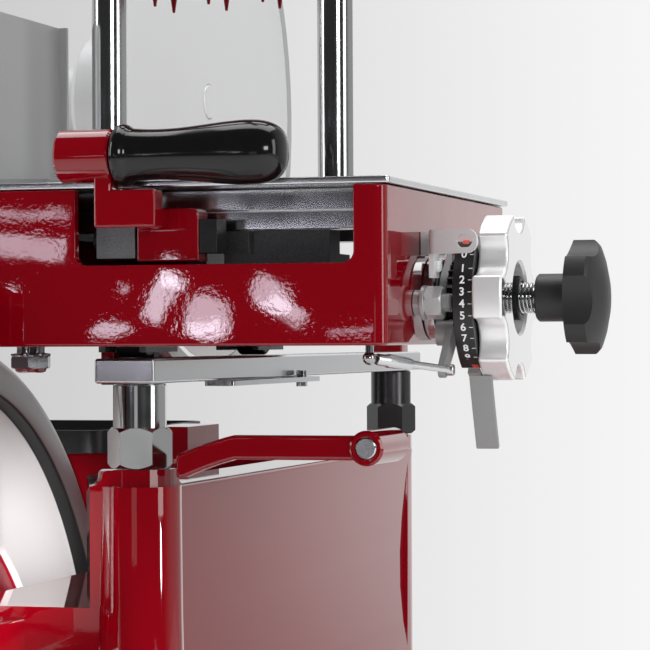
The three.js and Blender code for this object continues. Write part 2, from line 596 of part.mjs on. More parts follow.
// Knife: dished on the side of the meat, ground to an edge on the other
const bladeBack = KNIFE_FACE_X - KNIFE_THICKNESS;
add('knife', turned([
  [KNIFE_SHAFT_RADIUS + FIT, bladeBack], [KNIFE_RADIUS - 22, bladeBack],
  [KNIFE_RADIUS, KNIFE_FACE_X - 0.4], [KNIFE_RADIUS - 0.2, KNIFE_FACE_X], [KNIFE_RADIUS - 20, KNIFE_FACE_X - 0.8],
  [KNIFE_RADIUS - 70, KNIFE_FACE_X - 1.4], [KNIFE_SHAFT_RADIUS + FIT, KNIFE_FACE_X - 1.4],
  [KNIFE_SHAFT_RADIUS + FIT, bladeBack]], FINE, 'x', KNIFE_Y, KNIFE_Z, 0), polished);

// Casting that carries the knife, hollow for the shafts, and slim where the light passes under the carriage
const HOUSING_RADIUS = 40;
const HOUSING_WALL = 6;
const HOUSING_FROM = -280;
const HOUSING_TO = -217;
const NECK = { x0: -263, x1: -241, y0: KNIFE_Y - 18, y1: KNIFE_Y + 18 };
const neckForm = plate(roundedRectangle(NECK.x0, NECK.x1, NECK.y0, NECK.y1, 6), -130, KNIFE_Z - 20);
const footForm = block(-300, BASE_LEFT - FIT, KNIFE_Y - 28, KNIFE_Y + 28, -116, -60);
const footPad = block(-236, BASE_LEFT - FIT, KNIFE_Y - 28, KNIFE_Y + 28, -61, -47);
const gearBox = block(-275, -226, KNIFE_Y - 28, KNIFE_Y + 28, -180, -112);
const gearBoxFlange = block(-227, BASE_LEFT - FIT, KNIFE_Y - 28, KNIFE_Y + 28, -180, -112);
const knifeHousing = chamfered(HOUSING_RADIUS, HOUSING_FROM, HOUSING_TO, 3, 'x', ROUND, KNIFE_Y, KNIFE_Z, 0);
const knifeBoss = chamfered(22, knifeShaftStart - 2, HOUSING_FROM + 2, 1.5, 'x', PLAIN, KNIFE_Y, KNIFE_Z, 0);
let carrier = join(neckForm, footForm, footPad, gearBox, gearBoxFlange, knifeHousing, knifeBoss);
carrier = cut(carrier,
  rod(HOUSING_RADIUS - HOUSING_WALL, HOUSING_FROM + HOUSING_WALL, HOUSING_TO + 5, 'x', ROUND, KNIFE_Y, KNIFE_Z, 0),
  block(-271, -231, KNIFE_Y - 22, KNIFE_Y + 22, -181, -121),
  rod(UPRIGHT_RADIUS + 1, -130, KNIFE_Z - 14, 'z', PLAIN, KNIFE_Y, 0, UPRIGHT_X),
  rod(KNIFE_SHAFT_RADIUS + FIT, -320, -260, 'x', PLAIN, KNIFE_Y, KNIFE_Z, 0),
  rod(LAY_RADIUS + FIT, -240, -200, 'x', PLAIN, KNIFE_Y, LAY_Z, 0));
add('knife_carrier', carrier, enamel);

// Guard round the part of the edge that doesn't cut
const GUARD_INSIDE = KNIFE_RADIUS + 2;
const GUARD_OUTSIDE = KNIFE_RADIUS + 12;
const GUARD_FROM = -216.7;
const GUARD_TO = -208.5;
const GUARD_START = -160;
const GUARD_FINISH = 80;
const guardShape = new THREE.Shape();
guardShape.absarc(0, 0, GUARD_OUTSIDE, rad(GUARD_START), rad(GUARD_FINISH), false);
guardShape.absarc(0, 0, GUARD_INSIDE, rad(GUARD_FINISH), rad(GUARD_START), true);
const guardArm = (degrees) => {
  const arm = slab(roundedRectangle(HOUSING_RADIUS - 3, GUARD_OUTSIDE - 4, -11, 11, 3), GUARD_FROM, GUARD_FROM + 3.4);
  return arm.rotate([degrees, 0, 0]).translate([0, KNIFE_Y, KNIFE_Z]);
};
const guardHoop = slab(guardShape, GUARD_FROM, GUARD_TO, 0, 20).translate([0, KNIFE_Y, KNIFE_Z]);
const SHARPENER_Y = KNIFE_Y + 34;
const SEAT_TOP = KNIFE_Z + GUARD_OUTSIDE + 6;
const sharpenerSeat = block(-236, GUARD_FROM + 4, SHARPENER_Y - 14, SHARPENER_Y + 14,
  KNIFE_Z + GUARD_OUTSIDE - 12, SEAT_TOP);
add('guard_ring', join(guardHoop, guardArm(-70), guardArm(-15), guardArm(45), sharpenerSeat), polished);

// Sharpener: a head that swivels on its seat, with a stone on a spindle
const STONE_Z = SEAT_TOP + 30;
const sharpenerBody = join(
  slab(roundedRectangle(SHARPENER_Y - 13, SHARPENER_Y + 13, SEAT_TOP + FIT, SEAT_TOP + 44, 5), -231, -221, 1),
  rod(6, -236, -205, 'x', SMALL, SHARPENER_Y, STONE_Z, 0),
  chamfered(10, -250, -235, 1.5, 'x', SMALL, SHARPENER_Y, STONE_Z, 0));
add('sharpener_head', sharpenerBody, polished);
add('grinding_stone', ring(16, 6 + FIT, -218, -208, 'x', PLAIN, SHARPENER_Y, STONE_Z, 0), stone);

// Tray that catches the slices, resting on the foot of the knife carrier
const TRAY = { x0: -408.4, x1: -240, y0: 298, y1: 474 };
const trayOutline = roundedRectangle(TRAY.x0, TRAY.x1, TRAY.y0, TRAY.y1, 14);
const trayInside = roundedRectangle(TRAY.x0 + 2, TRAY.x1 - 2, TRAY.y0 + 2, TRAY.y1 - 2, 12);
add('slice_tray', cut(
  plate(trayOutline, -59.7, -47),
  plate(trayInside, -57.7, -40),
  plate(roundedRectangle(NECK.x0 - 1, NECK.x1 + 20, NECK.y0 - 1, NECK.y1 + 1, 2), -70, -40)), stainless);

// Rocker and its rod. The rod's far eye lies beside the crank disc, where the real pin would close the loop
const rockerPin = new THREE.Vector2(ROCKER_PIVOT_Y, ROCKER_PIVOT_Z);
const rockerUp = new THREE.Vector2(-Math.sin(rockerLean), Math.cos(rockerLean));
const rockerPoint = (distance) => rockerPin.clone().addScaledVector(rockerUp, distance);
const pinDistance = (DRIVE_PIN_Z - ROCKER_PIVOT_Z) / Math.cos(rockerLean);
const ROD_PIN_DISTANCE = 100;
const rodJoint = rockerPoint(ROD_PIN_DISTANCE);
const rodStart = ROCKER_X - 1 - 8;
const slotHalf = DRIVE_PIN_RADIUS + ROCKER_SLOT_PLAY;
const slotBlock = (halfWidth, from, to, x0, x1) => {
  const side = new THREE.Vector2(rockerUp.y, -rockerUp.x).multiplyScalar(halfWidth);
  const [low, high] = [rockerPoint(from), rockerPoint(to)];
  const shape = new THREE.Shape();
  shape.moveTo(low.x - side.x, low.y - side.y);
  shape.lineTo(low.x + side.x, low.y + side.y);
  shape.lineTo(high.x + side.x, high.y + side.y);
  shape.lineTo(high.x - side.x, high.y - side.y);
  return slab(shape, x0, x1);
};
const forkTop = pinDistance + 9;
let rockerArm = join(
  slab(taperedBar(rockerPin, rockerPoint(pinDistance - 60), 15, 12), ROCKER_X, ROCKER_X + ROCKER_ARM_THICKNESS),
  slotBlock(14.5, pinDistance - 70, forkTop, ROCKER_X, ROCKER_X + ROCKER_ARM_THICKNESS),
  rod(ROCKER_PIVOT_RADIUS, ROCKER_X - 13, ROCKER_X + ROCKER_ARM_THICKNESS + 13, 'x', PLAIN, rockerPin.x, rockerPin.y, 0),
  rod(5, rodStart + 0.5, ROCKER_X + 1, 'x', SMALL, rodJoint.x, rodJoint.y, 0));
rockerArm = cut(rockerArm, slotBlock(slotHalf, pinDistance - 40, forkTop + 2, ROCKER_X - 1, ROCKER_X + 20));
add('rocker_arm', rockerArm, castIron);

const crankPinAt = new THREE.Vector2(WHEEL_CENTRE_Y - CRANK_PIN_THROW, WHEEL_CENTRE_Z);
const rodOutline = taperedBar(crankPinAt, rodJoint, 12, 12);
add('connecting_rod', cut(
  slab(rodOutline, rodStart, ROCKER_X - 1, 1),
  rod(5 + FIT, rodStart - 1, ROCKER_X, 'x', SMALL, rodJoint.x, rodJoint.y, 0),
  rod(8 + FIT, rodStart - 1, ROCKER_X, 'x', SMALL, crankPinAt.x, crankPinAt.y, 0)), castIron);

// Carriage box: four walls and a web, notched at both ends so that the table's clamp can pass
const boxLeft = -CARRIAGE_WIDTH;
const inLeft = boxLeft + CARRIAGE_WALL;
const inRight = -CARRIAGE_WALL;
const inFar = CARRIAGE_LENGTH - CARRIAGE_WALL;
const notchRight = -NOTCH_MARGIN;
const notchLeft = notchRight - NOTCH_WIDTH;
const webTop = WEB_HEIGHT + WEB_THICKNESS;
const notchShape = new THREE.Shape();
notchShape.moveTo(notchLeft, CARRIAGE_HEIGHT + 5);
notchShape.lineTo(notchLeft, NOTCH_FLOOR + 5);
notchShape.absarc(notchLeft + 5, NOTCH_FLOOR + 5, 5, Math.PI, 1.5 * Math.PI);
notchShape.absarc(notchRight - 5, NOTCH_FLOOR + 5, 5, 1.5 * Math.PI, 2 * Math.PI);
notchShape.lineTo(notchRight, CARRIAGE_HEIGHT + 5);
const boxOutline = roundedRectangle(boxLeft, 0, 0, CARRIAGE_LENGTH, CARRIAGE_CORNER);
let box = plate(boxOutline, 0, CARRIAGE_HEIGHT, 1.2);
box = cut(box,
  block(inLeft, inRight, CARRIAGE_WALL, inFar, webTop, CARRIAGE_HEIGHT + 5),
  block(inLeft, inRight, CARRIAGE_WALL, inFar, -5, WEB_HEIGHT),
  panel(notchShape, -5, CARRIAGE_WALL + 1),
  panel(notchShape, inFar - 1, CARRIAGE_LENGTH + 5));
const guideBossNear = rod(14, 0.6, CARRIAGE_WALL + 12, 'y', PLAIN, 0, GUIDE_Z, GUIDE_X);
const guideBossFar = rod(14, inFar - 12, CARRIAGE_LENGTH - 0.6, 'y', PLAIN, 0, GUIDE_Z, GUIDE_X);
const bossTrim = block(boxLeft, inRight, -1, CARRIAGE_LENGTH + 1, 0.5, WEB_HEIGHT + 1);
box = join(box, guideBossNear.intersect(bossTrim), guideBossFar.intersect(bossTrim));
const drivePinHolder = block(-178, -164, DRIVE_PIN_Y - 11, DRIVE_PIN_Y + 11, DRIVE_PIN_Z - 9, WEB_HEIGHT + 1);
const drivePin = rod(DRIVE_PIN_RADIUS, -170, ROCKER_X + ROCKER_ARM_THICKNESS + 2, 'x', PLAIN, DRIVE_PIN_Y, DRIVE_PIN_Z, 0);
const screwBossRight = rod(16, -14, -1, 'x', PLAIN, SCREW_Y, SCREW_Z, 0);
const SCREW_END_X = -168;
const screwHanger = block(SCREW_END_X - 8, SCREW_END_X, SCREW_Y - 11, SCREW_Y + 11, SCREW_Z - 11, WEB_HEIGHT + 1);
box = join(box, drivePinHolder, drivePin,
  screwBossRight.intersect(bossTrim), screwHanger);
const webSlot = block(-160, -30, SCREW_Y - 15, SCREW_Y + 15, WEB_HEIGHT - 2, webTop + 2);
const STUD_Y = 50.5;
const STUD_Z = 18.3;
const STUD_RADIUS = 4;
box = cut(box, webSlot,
  rod(GUIDE_RADIUS + FIT, -20, CARRIAGE_LENGTH + 14, 'y', PLAIN, 0, GUIDE_Z, GUIDE_X),
  rod(SCREW_DIAMETER / 2 + FIT, -40, 10, 'x', PLAIN, SCREW_Y, SCREW_Z, 0),
  rod(5 + FIT, SCREW_END_X - 10, SCREW_END_X + 5, 'x', SMALL, SCREW_Y, SCREW_Z, 0),
  rod(STUD_RADIUS + FIT, -12, 5, 'x', SMALL, STUD_Y, STUD_Z, 0));
add('carriage_box', box, enamel);

// Rollers that run on the rail, between the cheeks of their bracket
const ROLLER_RADIUS = 11;
const ROLLER_WIDTH = 14;
const ROLLER_Y = [34, CARRIAGE_LENGTH - 26];
const AXLE_RADIUS = 3;
const rollerZ = -RAIL_DROP + FIT + ROLLER_RADIUS;
const cheekIn = ROLLER_WIDTH / 2 + 1;
const cheekOut = cheekIn + 3;
const bracketY = [18, CARRIAGE_LENGTH - 10];
const bracketTop = WEB_HEIGHT - FIT;
let rollerBracket = cut(
  block(RAIL_X - cheekOut, RAIL_X + cheekOut, bracketY[0], bracketY[1], -2.6, bracketTop),
  block(RAIL_X - cheekIn, RAIL_X + cheekIn, bracketY[0] - 1, bracketY[1] + 1, -5, bracketTop - 4),
  rod(SCREW_DIAMETER / 2 + 1, -200, 0, 'x', PLAIN, SCREW_Y, SCREW_Z, 0),
  block(RAIL_X - 20, RAIL_X + 20, ROLLER_Y[0] + 26, ROLLER_Y[1] - 26, -5, 12));
const axle = (y) => rod(AXLE_RADIUS, RAIL_X - cheekOut, RAIL_X + cheekOut, 'x', SMALL, y, rollerZ, 0);
rollerBracket = join(rollerBracket, ...ROLLER_Y.map(axle));
add('roller_bracket', rollerBracket, castIron);
const roller = (y) => turned([
  [AXLE_RADIUS + FIT, -ROLLER_WIDTH / 2], [ROLLER_RADIUS - 1, -ROLLER_WIDTH / 2],
  [ROLLER_RADIUS, -ROLLER_WIDTH / 2 + 1], [ROLLER_RADIUS, ROLLER_WIDTH / 2 - 1],
  [ROLLER_RADIUS - 1, ROLLER_WIDTH / 2], [AXLE_RADIUS + FIT, ROLLER_WIDTH / 2],
  [AXLE_RADIUS + FIT, -ROLLER_WIDTH / 2]], ROUND, 'x', y, rollerZ, RAIL_X);
add('near_roller', roller(ROLLER_Y[0]), blackSteel);
add('far_roller', roller(ROLLER_Y[1]), blackSteel);

// Slides for the meat table: two bars in one frame, and the cast rest under the near one
const SLIDE_BOTTOM = 50.5;
const SLIDE_TOP = CARRIAGE_HEIGHT - FIT;
const SLIDE_Y = [[26, 46], [CARRIAGE_LENGTH - 46, CARRIAGE_LENGTH - 26]];
const slideLeft = inLeft + FIT;
const slideRight = inRight - FIT;
const slideBars = SLIDE_Y.map(([y0, y1]) => block(slideLeft, slideRight, y0, y1, SLIDE_BOTTOM, SLIDE_TOP));
const slideTies = [[slideLeft, slideLeft + 12], [slideRight - 12, slideRight]].map(
  ([x0, x1]) => block(x0, x1, SLIDE_Y[0][0], SLIDE_Y[1][1], SLIDE_BOTTOM, SLIDE_BOTTOM + 8));
const seam = (y) => block(slideLeft - 1, slideRight + 1, y - 0.5, y + 0.5, 58.1, 58.8);
add('slide_frame', cut(join(...slideBars, ...slideTies), seam(SLIDE_Y[0][0]), seam(SLIDE_Y[1][1])), polished);
const restForm = join(
  block(-80, -32, SLIDE_Y[0][0] + 2, SLIDE_Y[0][1] + 14, webTop + FIT, webTop + 6),
  block(-80, -68.5, SLIDE_Y[0][0] + 2, SLIDE_Y[0][1] - 2, webTop + 5, SLIDE_BOTTOM - FIT),
  block(-66.5, -32, SLIDE_Y[0][0] + 2, SLIDE_Y[0][1] - 2, webTop + 5, SLIDE_BOTTOM - FIT));
add('slide_rest', restForm, castIron);

// Stud on the side of the carriage
const nutCorner = 13 / Math.sqrt(3);
add('stop_stud', join(
  chamfered(STUD_RADIUS, -9, 17, 0.8, 'x', SMALL, STUD_Y, STUD_Z, 0),
  rod(7.6, FIT, 2.2, 'x', PLAIN, STUD_Y, STUD_Z, 0),
  rod(nutCorner, 2, 11.5, 'x', 6, STUD_Y, STUD_Z, 0).intersect(turned(
    [[0, 2], [nutCorner - 0.9, 2], [nutCorner, 3], [nutCorner, 10.4], [nutCorner - 0.9, 11.5], [0, 11.5]],
    PLAIN, 'x', STUD_Y, STUD_Z, 0))), brushed);

// Feed screw with its bearing flange, ratchet wheel and hand wheel
const flangeEnd = FIT + FLANGE_THICKNESS;
add('bearing_flange', turned([
  [SCREW_DIAMETER / 2 + FIT, FIT], [FLANGE_RADIUS, FIT], [FLANGE_RADIUS, flangeEnd - 1.4],
  [FLANGE_RADIUS - 1.2, flangeEnd], [SCREW_DIAMETER / 2 + FIT, flangeEnd], [SCREW_DIAMETER / 2 + FIT, FIT]],
ROUND, 'x', SCREW_Y, SCREW_Z, 0), polished);
const rockerStart = flangeEnd + 0.4;
const rockerEnd = rockerStart + ROCKER_THICKNESS;
const ratchetStart = rockerEnd + 0.4;
const ratchetEnd = ratchetStart + RATCHET_THICKNESS;
const LINK_END_GAP = 5.4;
const wheelStart = DRUM_START + DRUM_WIDTH + 0.2;
const wheelEnd = wheelStart + WHEEL_THICKNESS;
const recessFloor = wheelEnd - WHEEL_RECESS_DEPTH;
const SCREW_TIP_END = STAR_START + STAR_HUB_LENGTH + 6;
add('feed_screw', join(
  chamfered(SCREW_DIAMETER / 2, SCREW_END_X + FIT, recessFloor, 0.6, 'x', PLAIN, SCREW_Y, SCREW_Z, 0),
  chamfered(5, SCREW_END_X - 8, SCREW_END_X + 3, 0.6, 'x', SMALL, SCREW_Y, SCREW_Z, 0),
  chamfered(SCREW_TIP_DIAMETER / 2, recessFloor - 2, SCREW_TIP_END, 0.8, 'x', PLAIN, SCREW_Y, SCREW_Z, 0)), brushed);

// Saw teeth, steep on the side that the pawl pushes
function ratchetOutline() {
  const shape = new THREE.Shape();
  const step = 360 / RATCHET_TEETH;
  for (let i = 0; i < RATCHET_TEETH; i += 1) {
    const tip = polar(RATCHET_RADIUS, i * step);
    const root = polar(RATCHET_RADIUS - RATCHET_TOOTH_DEPTH, i * step + 1.2);
    if (i === 0) shape.moveTo(tip.x, tip.y);
    else shape.lineTo(tip.x, tip.y);
    shape.lineTo(root.x, root.y);
  }
  return shape;
}
const screwHole = (from, to) => rod(SCREW_DIAMETER / 2 + FIT, from, to, 'x', PLAIN, SCREW_Y, SCREW_Z, 0);
add('ratchet_wheel', cut(
  slab(ratchetOutline(), ratchetStart, ratchetEnd).translate([0, SCREW_Y, SCREW_Z]),
  screwHole(0, 30)), blackSteel);

const PAWL_PIVOT_ANGLE = 62;
const PAWL_PIVOT_RADIUS = 24;
const pawlPivot = polar(PAWL_PIVOT_RADIUS, PAWL_PIVOT_ANGLE);
const rockerTip = polar(ROCKER_REACH, ROCKER_ANGLE);
const centre = new THREE.Vector2(0, 0);
let feedRocker = join(
  slab(taperedBar(centre, rockerTip, 13.4, 4.8), rockerStart, rockerEnd, 0, 6),
  slab(taperedBar(centre, pawlPivot, 14, 4.5), rockerStart, rockerEnd, 0, 6),
  rod(2.2, rockerEnd - 1, ratchetEnd, 'x', SMALL, pawlPivot.x, pawlPivot.y, 0),
  rod(2, rockerEnd - 1, rockerEnd + LINK_END_GAP - FIT, 'x', SMALL, rockerTip.x, rockerTip.y, 0));
feedRocker = cut(feedRocker.translate([0, SCREW_Y, SCREW_Z]), screwHole(0, 30));
add('feed_rocker', feedRocker, brushed);

const pawlTip = polar(RATCHET_RADIUS + 0.9, PAWL_PIVOT_ANGLE + 45);
const pawlHeel = polar(RATCHET_RADIUS + 4.6, PAWL_PIVOT_ANGLE + 38);
const pawlBack = polar(PAWL_PIVOT_RADIUS + 3.6, PAWL_PIVOT_ANGLE + 2);
const pawlBelly = polar(PAWL_PIVOT_RADIUS - 3.6, PAWL_PIVOT_ANGLE + 4);
const pawlShape = new THREE.Shape();
pawlShape.moveTo(pawlBack.x, pawlBack.y);
pawlShape.lineTo(pawlHeel.x, pawlHeel.y);
pawlShape.lineTo(pawlTip.x, pawlTip.y);
pawlShape.lineTo(pawlBelly.x, pawlBelly.y);
add('pawl', cut(join(
  slab(pawlShape, ratchetStart, ratchetEnd),
  rod(4.2, ratchetStart, ratchetEnd, 'x', SMALL, pawlPivot.x, pawlPivot.y, 0)),
rod(2.2 + FIT, 0, 22, 'x', SMALL, pawlPivot.x, pawlPivot.y, 0)).translate([0, SCREW_Y, SCREW_Z]), brushed);

// Number drum, a shallow cup, and the curved lever that turns it
const drumEnd = DRUM_START + DRUM_WIDTH;
add('number_drum', turned([
  [SCREW_DIAMETER / 2 + FIT, DRUM_START + 3], [12, DRUM_START + 3], [12, drumEnd - DRUM_WALL],
  [DRUM_RADIUS - DRUM_WALL, drumEnd - DRUM_WALL], [DRUM_RADIUS - DRUM_WALL, DRUM_START],
  [DRUM_RADIUS, DRUM_START], [DRUM_RADIUS, drumEnd], [SCREW_DIAMETER / 2 + FIT, drumEnd],
  [SCREW_DIAMETER / 2 + FIT, DRUM_START + 3]], ROUND, 'x', SCREW_Y, SCREW_Z, 0), blackEnamel);

const LEVER_START_ANGLE = 215;
const LEVER_FROM = 21.3;
const LEVER_WIDTH = 10.4;
const LEVER_THICKNESS = 2.4;
const leverRadius = DRUM_RADIUS + FIT + LEVER_THICKNESS / 2;
function leverShape() {
  const root = polar(leverRadius, LEVER_START_ANGLE);
  const curve = new THREE.QuadraticBezierCurve(root, new THREE.Vector2(-14, -44), new THREE.Vector2(-3.2, -66.3));
  const steps = 8;
  const outer = [];
  const inner = [];
  for (let i = 0; i <= steps; i += 1) {
    const p = curve.getPoint(i / steps);
    const t = curve.getTangent(i / steps);
    outer.push(new THREE.Vector2(p.x + (t.y * LEVER_THICKNESS) / 2, p.y - (t.x * LEVER_THICKNESS) / 2));
    inner.unshift(new THREE.Vector2(p.x - (t.y * LEVER_THICKNESS) / 2, p.y + (t.x * LEVER_THICKNESS) / 2));
  }
  return new THREE.Shape([...outer, ...inner]);
}
const leverSaddle = new THREE.Shape();
leverSaddle.absarc(0, 0, DRUM_RADIUS + FIT + LEVER_THICKNESS, rad(LEVER_START_ANGLE - 24), rad(LEVER_START_ANGLE + 4));
leverSaddle.absarc(0, 0, DRUM_RADIUS + FIT, rad(LEVER_START_ANGLE + 4), rad(LEVER_START_ANGLE - 24), true);
const leverForm = join(slab(leverShape(), LEVER_FROM, LEVER_FROM + LEVER_WIDTH),
  slab(leverSaddle, LEVER_FROM, drumEnd - 0.4)).translate([0, SCREW_Y, SCREW_Z]);
add('thickness_lever', cut(leverForm,
  rod(DRUM_RADIUS + FIT, 0, drumEnd, 'x', FINE, SCREW_Y, SCREW_Z, 0),
  rod(WHEEL_RADIUS + 0.7, drumEnd - 0.1, 60, 'x', FINE, SCREW_Y, SCREW_Z, 0)), polished);

// A round wheel with lobes: arcs of the full circle joined by hollow arcs
function lobedOutline(radius, lobes, lobeHalf, valleyRadius, turn) {
  const shape = new THREE.Shape();
  const step = 360 / lobes;
  for (let i = 0; i < lobes; i += 1) {
    const middle = turn + i * step;
    const leave = polar(radius, middle + lobeHalf);
    shape.absarc(0, 0, radius, rad(middle - lobeHalf), rad(middle + lobeHalf));
    const half = rad(step / 2 - lobeHalf);
    const chord = radius * Math.sin(half);
    const sag = radius * Math.cos(half) - valleyRadius;
    const hollow = (chord * chord + sag * sag) / (2 * sag);
    const hub = polar(valleyRadius + hollow, middle + step / 2);
    const next = polar(radius, middle + step - lobeHalf);
    shape.absarc(hub.x, hub.y, hollow, Math.atan2(leave.y - hub.y, leave.x - hub.x),
      Math.atan2(next.y - hub.y, next.x - hub.x), true);
  }
  return shape;
}
const wheelOutline = lobedOutline(
  WHEEL_RADIUS, WHEEL_LOBES, WHEEL_LOBE_HALF_ANGLE, WHEEL_RADIUS - WHEEL_VALLEY_DEPTH, 180);
add('hand_wheel', cut(
  slab(wheelOutline, wheelStart, wheelEnd, 1.6, 3).translate([0, SCREW_Y, SCREW_Z]),
  rod(WHEEL_RECESS_RADIUS, recessFloor, wheelEnd + 5, 'x', ROUND, SCREW_Y, SCREW_Z, 0),
  screwHole(0, 60)), polished);

const starHubEnd = STAR_START + STAR_HUB_LENGTH;
const starRimFrom = starHubEnd + STAR_BACK_SLOPE;
const starRimTo = starRimFrom + STAR_RIM;
const starOutline = lobedOutline(STAR_RADIUS, STAR_LOBES, STAR_LOBE_HALF_ANGLE, STAR_VALLEY_RADIUS, STAR_TURN);
const starDome = turned([
  [0, starHubEnd - 1], [STAR_HUB_RADIUS, starHubEnd - 1], [STAR_HUB_RADIUS, starHubEnd],
  [STAR_RADIUS + 0.6, starRimFrom], [STAR_RADIUS + 0.6, starRimTo], [STAR_RADIUS - 2, starRimTo + STAR_DOME * 0.3],
  [STAR_RADIUS * 0.75, starRimTo + STAR_DOME * 0.5], [STAR_RADIUS * 0.42, starRimTo + STAR_DOME * 0.86],
  [0, starRimTo + STAR_DOME]], ROUND, 'x', SCREW_Y, SCREW_Z, 0);
const starBody = slab(starOutline, starHubEnd - 1, starRimTo + STAR_DOME + 1, 0, 5).translate([0, SCREW_Y, SCREW_Z]);
add('star_knob', cut(join(
  starBody.intersect(starDome),
  chamfered(STAR_HUB_RADIUS, STAR_START, starHubEnd, 0.8, 'x', PLAIN, SCREW_Y, SCREW_Z, 0)),
rod(SCREW_TIP_DIAMETER / 2 + FIT, 40, SCREW_TIP_END + 1, 'x', PLAIN, SCREW_Y, SCREW_Z, 0)), blackPlastic);

// Spring between the hand wheel and the star knob: one wire with straight ends
function wireSpring(from, to) {
  const radius = (SPRING_OUTSIDE - SPRING_WIRE) / 2;
  const sides = 5;
  const stepsPerTurn = 8;
  const steps = SPRING_TURNS * stepsPerTurn;
  const middle = [];
  const pitch = (to - from - SPRING_WIRE) / SPRING_TURNS;
  for (let i = 0; i <= steps; i += 1) {
    const angle = (i / stepsPerTurn) * 2 * Math.PI;
    middle.push(new THREE.Vector3(
      from + SPRING_WIRE / 2 + (pitch * i) / stepsPerTurn, radius * Math.cos(angle), radius * Math.sin(angle)));
  }
  const first = new THREE.Vector3().subVectors(middle[0], middle[1]).setLength(SPRING_WIRE);
  first.x = 0;
  const last = new THREE.Vector3().subVectors(middle[steps], middle[steps - 1]).setLength(SPRING_WIRE);
  last.x = 0;
  middle.unshift(middle[0].clone().add(first));
  middle.push(middle[middle.length - 1].clone().add(last));
  let least = Infinity;
  for (let i = 0; i < middle.length; i += 1) {
    for (let j = i + 5; j < middle.length; j += 1) {
      least = Math.min(least, middle[i].distanceTo(middle[j]) - SPRING_WIRE);
    }
  }
  console.log(`spring: least gap to itself ${least.toFixed(2)} mm`);
  const points = [];
  middle.forEach((p, i) => {
    const ahead = middle[Math.min(i + 1, middle.length - 1)];
    const behind = middle[Math.max(i - 1, 0)];
    const along = new THREE.Vector3().subVectors(ahead, behind).normalize();
    const across = new THREE.Vector3(1, 0, 0).addScaledVector(along, -along.x).normalize();
    const third = new THREE.Vector3().crossVectors(along, across);
    for (let k = 0; k < sides; k += 1) {
      const angle = (2 * Math.PI * k) / sides;
      const q = p.clone().addScaledVector(across, (SPRING_WIRE / 2) * Math.cos(angle))
        .addScaledVector(third, (SPRING_WIRE / 2) * Math.sin(angle));
      points.push(q.x, q.y, q.z);
    }
  });
  const faces = [];
  for (let j = 0; j < middle.length - 1; j += 1) {
    for (let k = 0; k < sides; k += 1) {
      const a = j * sides + k;
      const b = j * sides + ((k + 1) % sides);
      faces.push(a, b, b + sides, a, b + sides, a + sides);
    }
  }
  const end = (middle.length - 1) * sides;
  for (let k = 1; k < sides - 1; k += 1) faces.push(0, k + 1, k, end, end + k, end + k + 1);
  const geometry = new THREE.BufferGeometry();
  geometry.setAttribute('position', new THREE.Float32BufferAttribute(points, 3));
  geometry.setIndex(faces);
  return solid(geometry).translate([0, SCREW_Y, SCREW_Z]);
}
add('knob_spring', wireSpring(recessFloor + FIT, STAR_START - FIT), chrome);

// Index bracket: a bent strip from the side of the box, with the hole that frames the number
const BRACKET_Z = 44.5;
const STRIP = 2.2;
const bracketPath = new THREE.Shape();
bracketPath.moveTo(FIT, 62);
bracketPath.lineTo(FIT + STRIP, 62);
bracketPath.lineTo(FIT + STRIP, 48);
bracketPath.quadraticCurveTo(FIT + STRIP, 42.5, 8, 40.5);
bracketPath.lineTo(31, 33);
bracketPath.lineTo(30.2, 30.6);
bracketPath.lineTo(6.4, 38.4);
bracketPath.quadraticCurveTo(FIT, 41, FIT, 48);
const bracketArm = plate(bracketPath, 39.5, 49.5);
const bracketLeg = block(FIT, FIT + STRIP, 50, 60, 33, 48);
const bracketEyeHole = rod(2.2, 20, 60, 'y', SMALL, 0, BRACKET_Z, 26);
const bracketScrew = chamfered(2.6, FIT + 1, FIT + STRIP + 2.6, 0.7, 'x', SMALL, 55, 39, 0);
add('index_bracket', join(cut(bracketArm, bracketEyeHole), bracketLeg, bracketScrew), polished);

// Feed lever inside the box, its ball stud, and the link that swings the feed rocker
const BALL_X = -7.2;
const BALL_Y = 9.2;
const BALL_Z = -5.4;
const FEED_LEVER_PIVOT_X = -103.4;
const FEED_LEVER_PIVOT_Y = 20;
const FEED_LEVER_TIP = 2.1;
const FEED_LEVER_Z = 3.4;
const pivotAt = new THREE.Vector2(FEED_LEVER_PIVOT_X, FEED_LEVER_PIVOT_Y);
const ballAt = new THREE.Vector2(BALL_X - 2.2, BALL_Y);
const feedLever = join(
  plate(taperedBar(pivotAt, ballAt, 6, FEED_LEVER_TIP), FEED_LEVER_Z, FEED_LEVER_Z + 3.4),
  rod(1.7, BALL_Z, FEED_LEVER_Z + 1, 'z', SMALL, BALL_Y, 0, ballAt.x),
  rod(3, FEED_LEVER_Z + 1, WEB_HEIGHT - FIT, 'z', SMALL, pivotAt.y, 0, pivotAt.x),
  solid(new THREE.SphereGeometry(3, 12, 8)).translate([ballAt.x, BALL_Y, BALL_Z]));
add('feed_lever', feedLever, brushed);

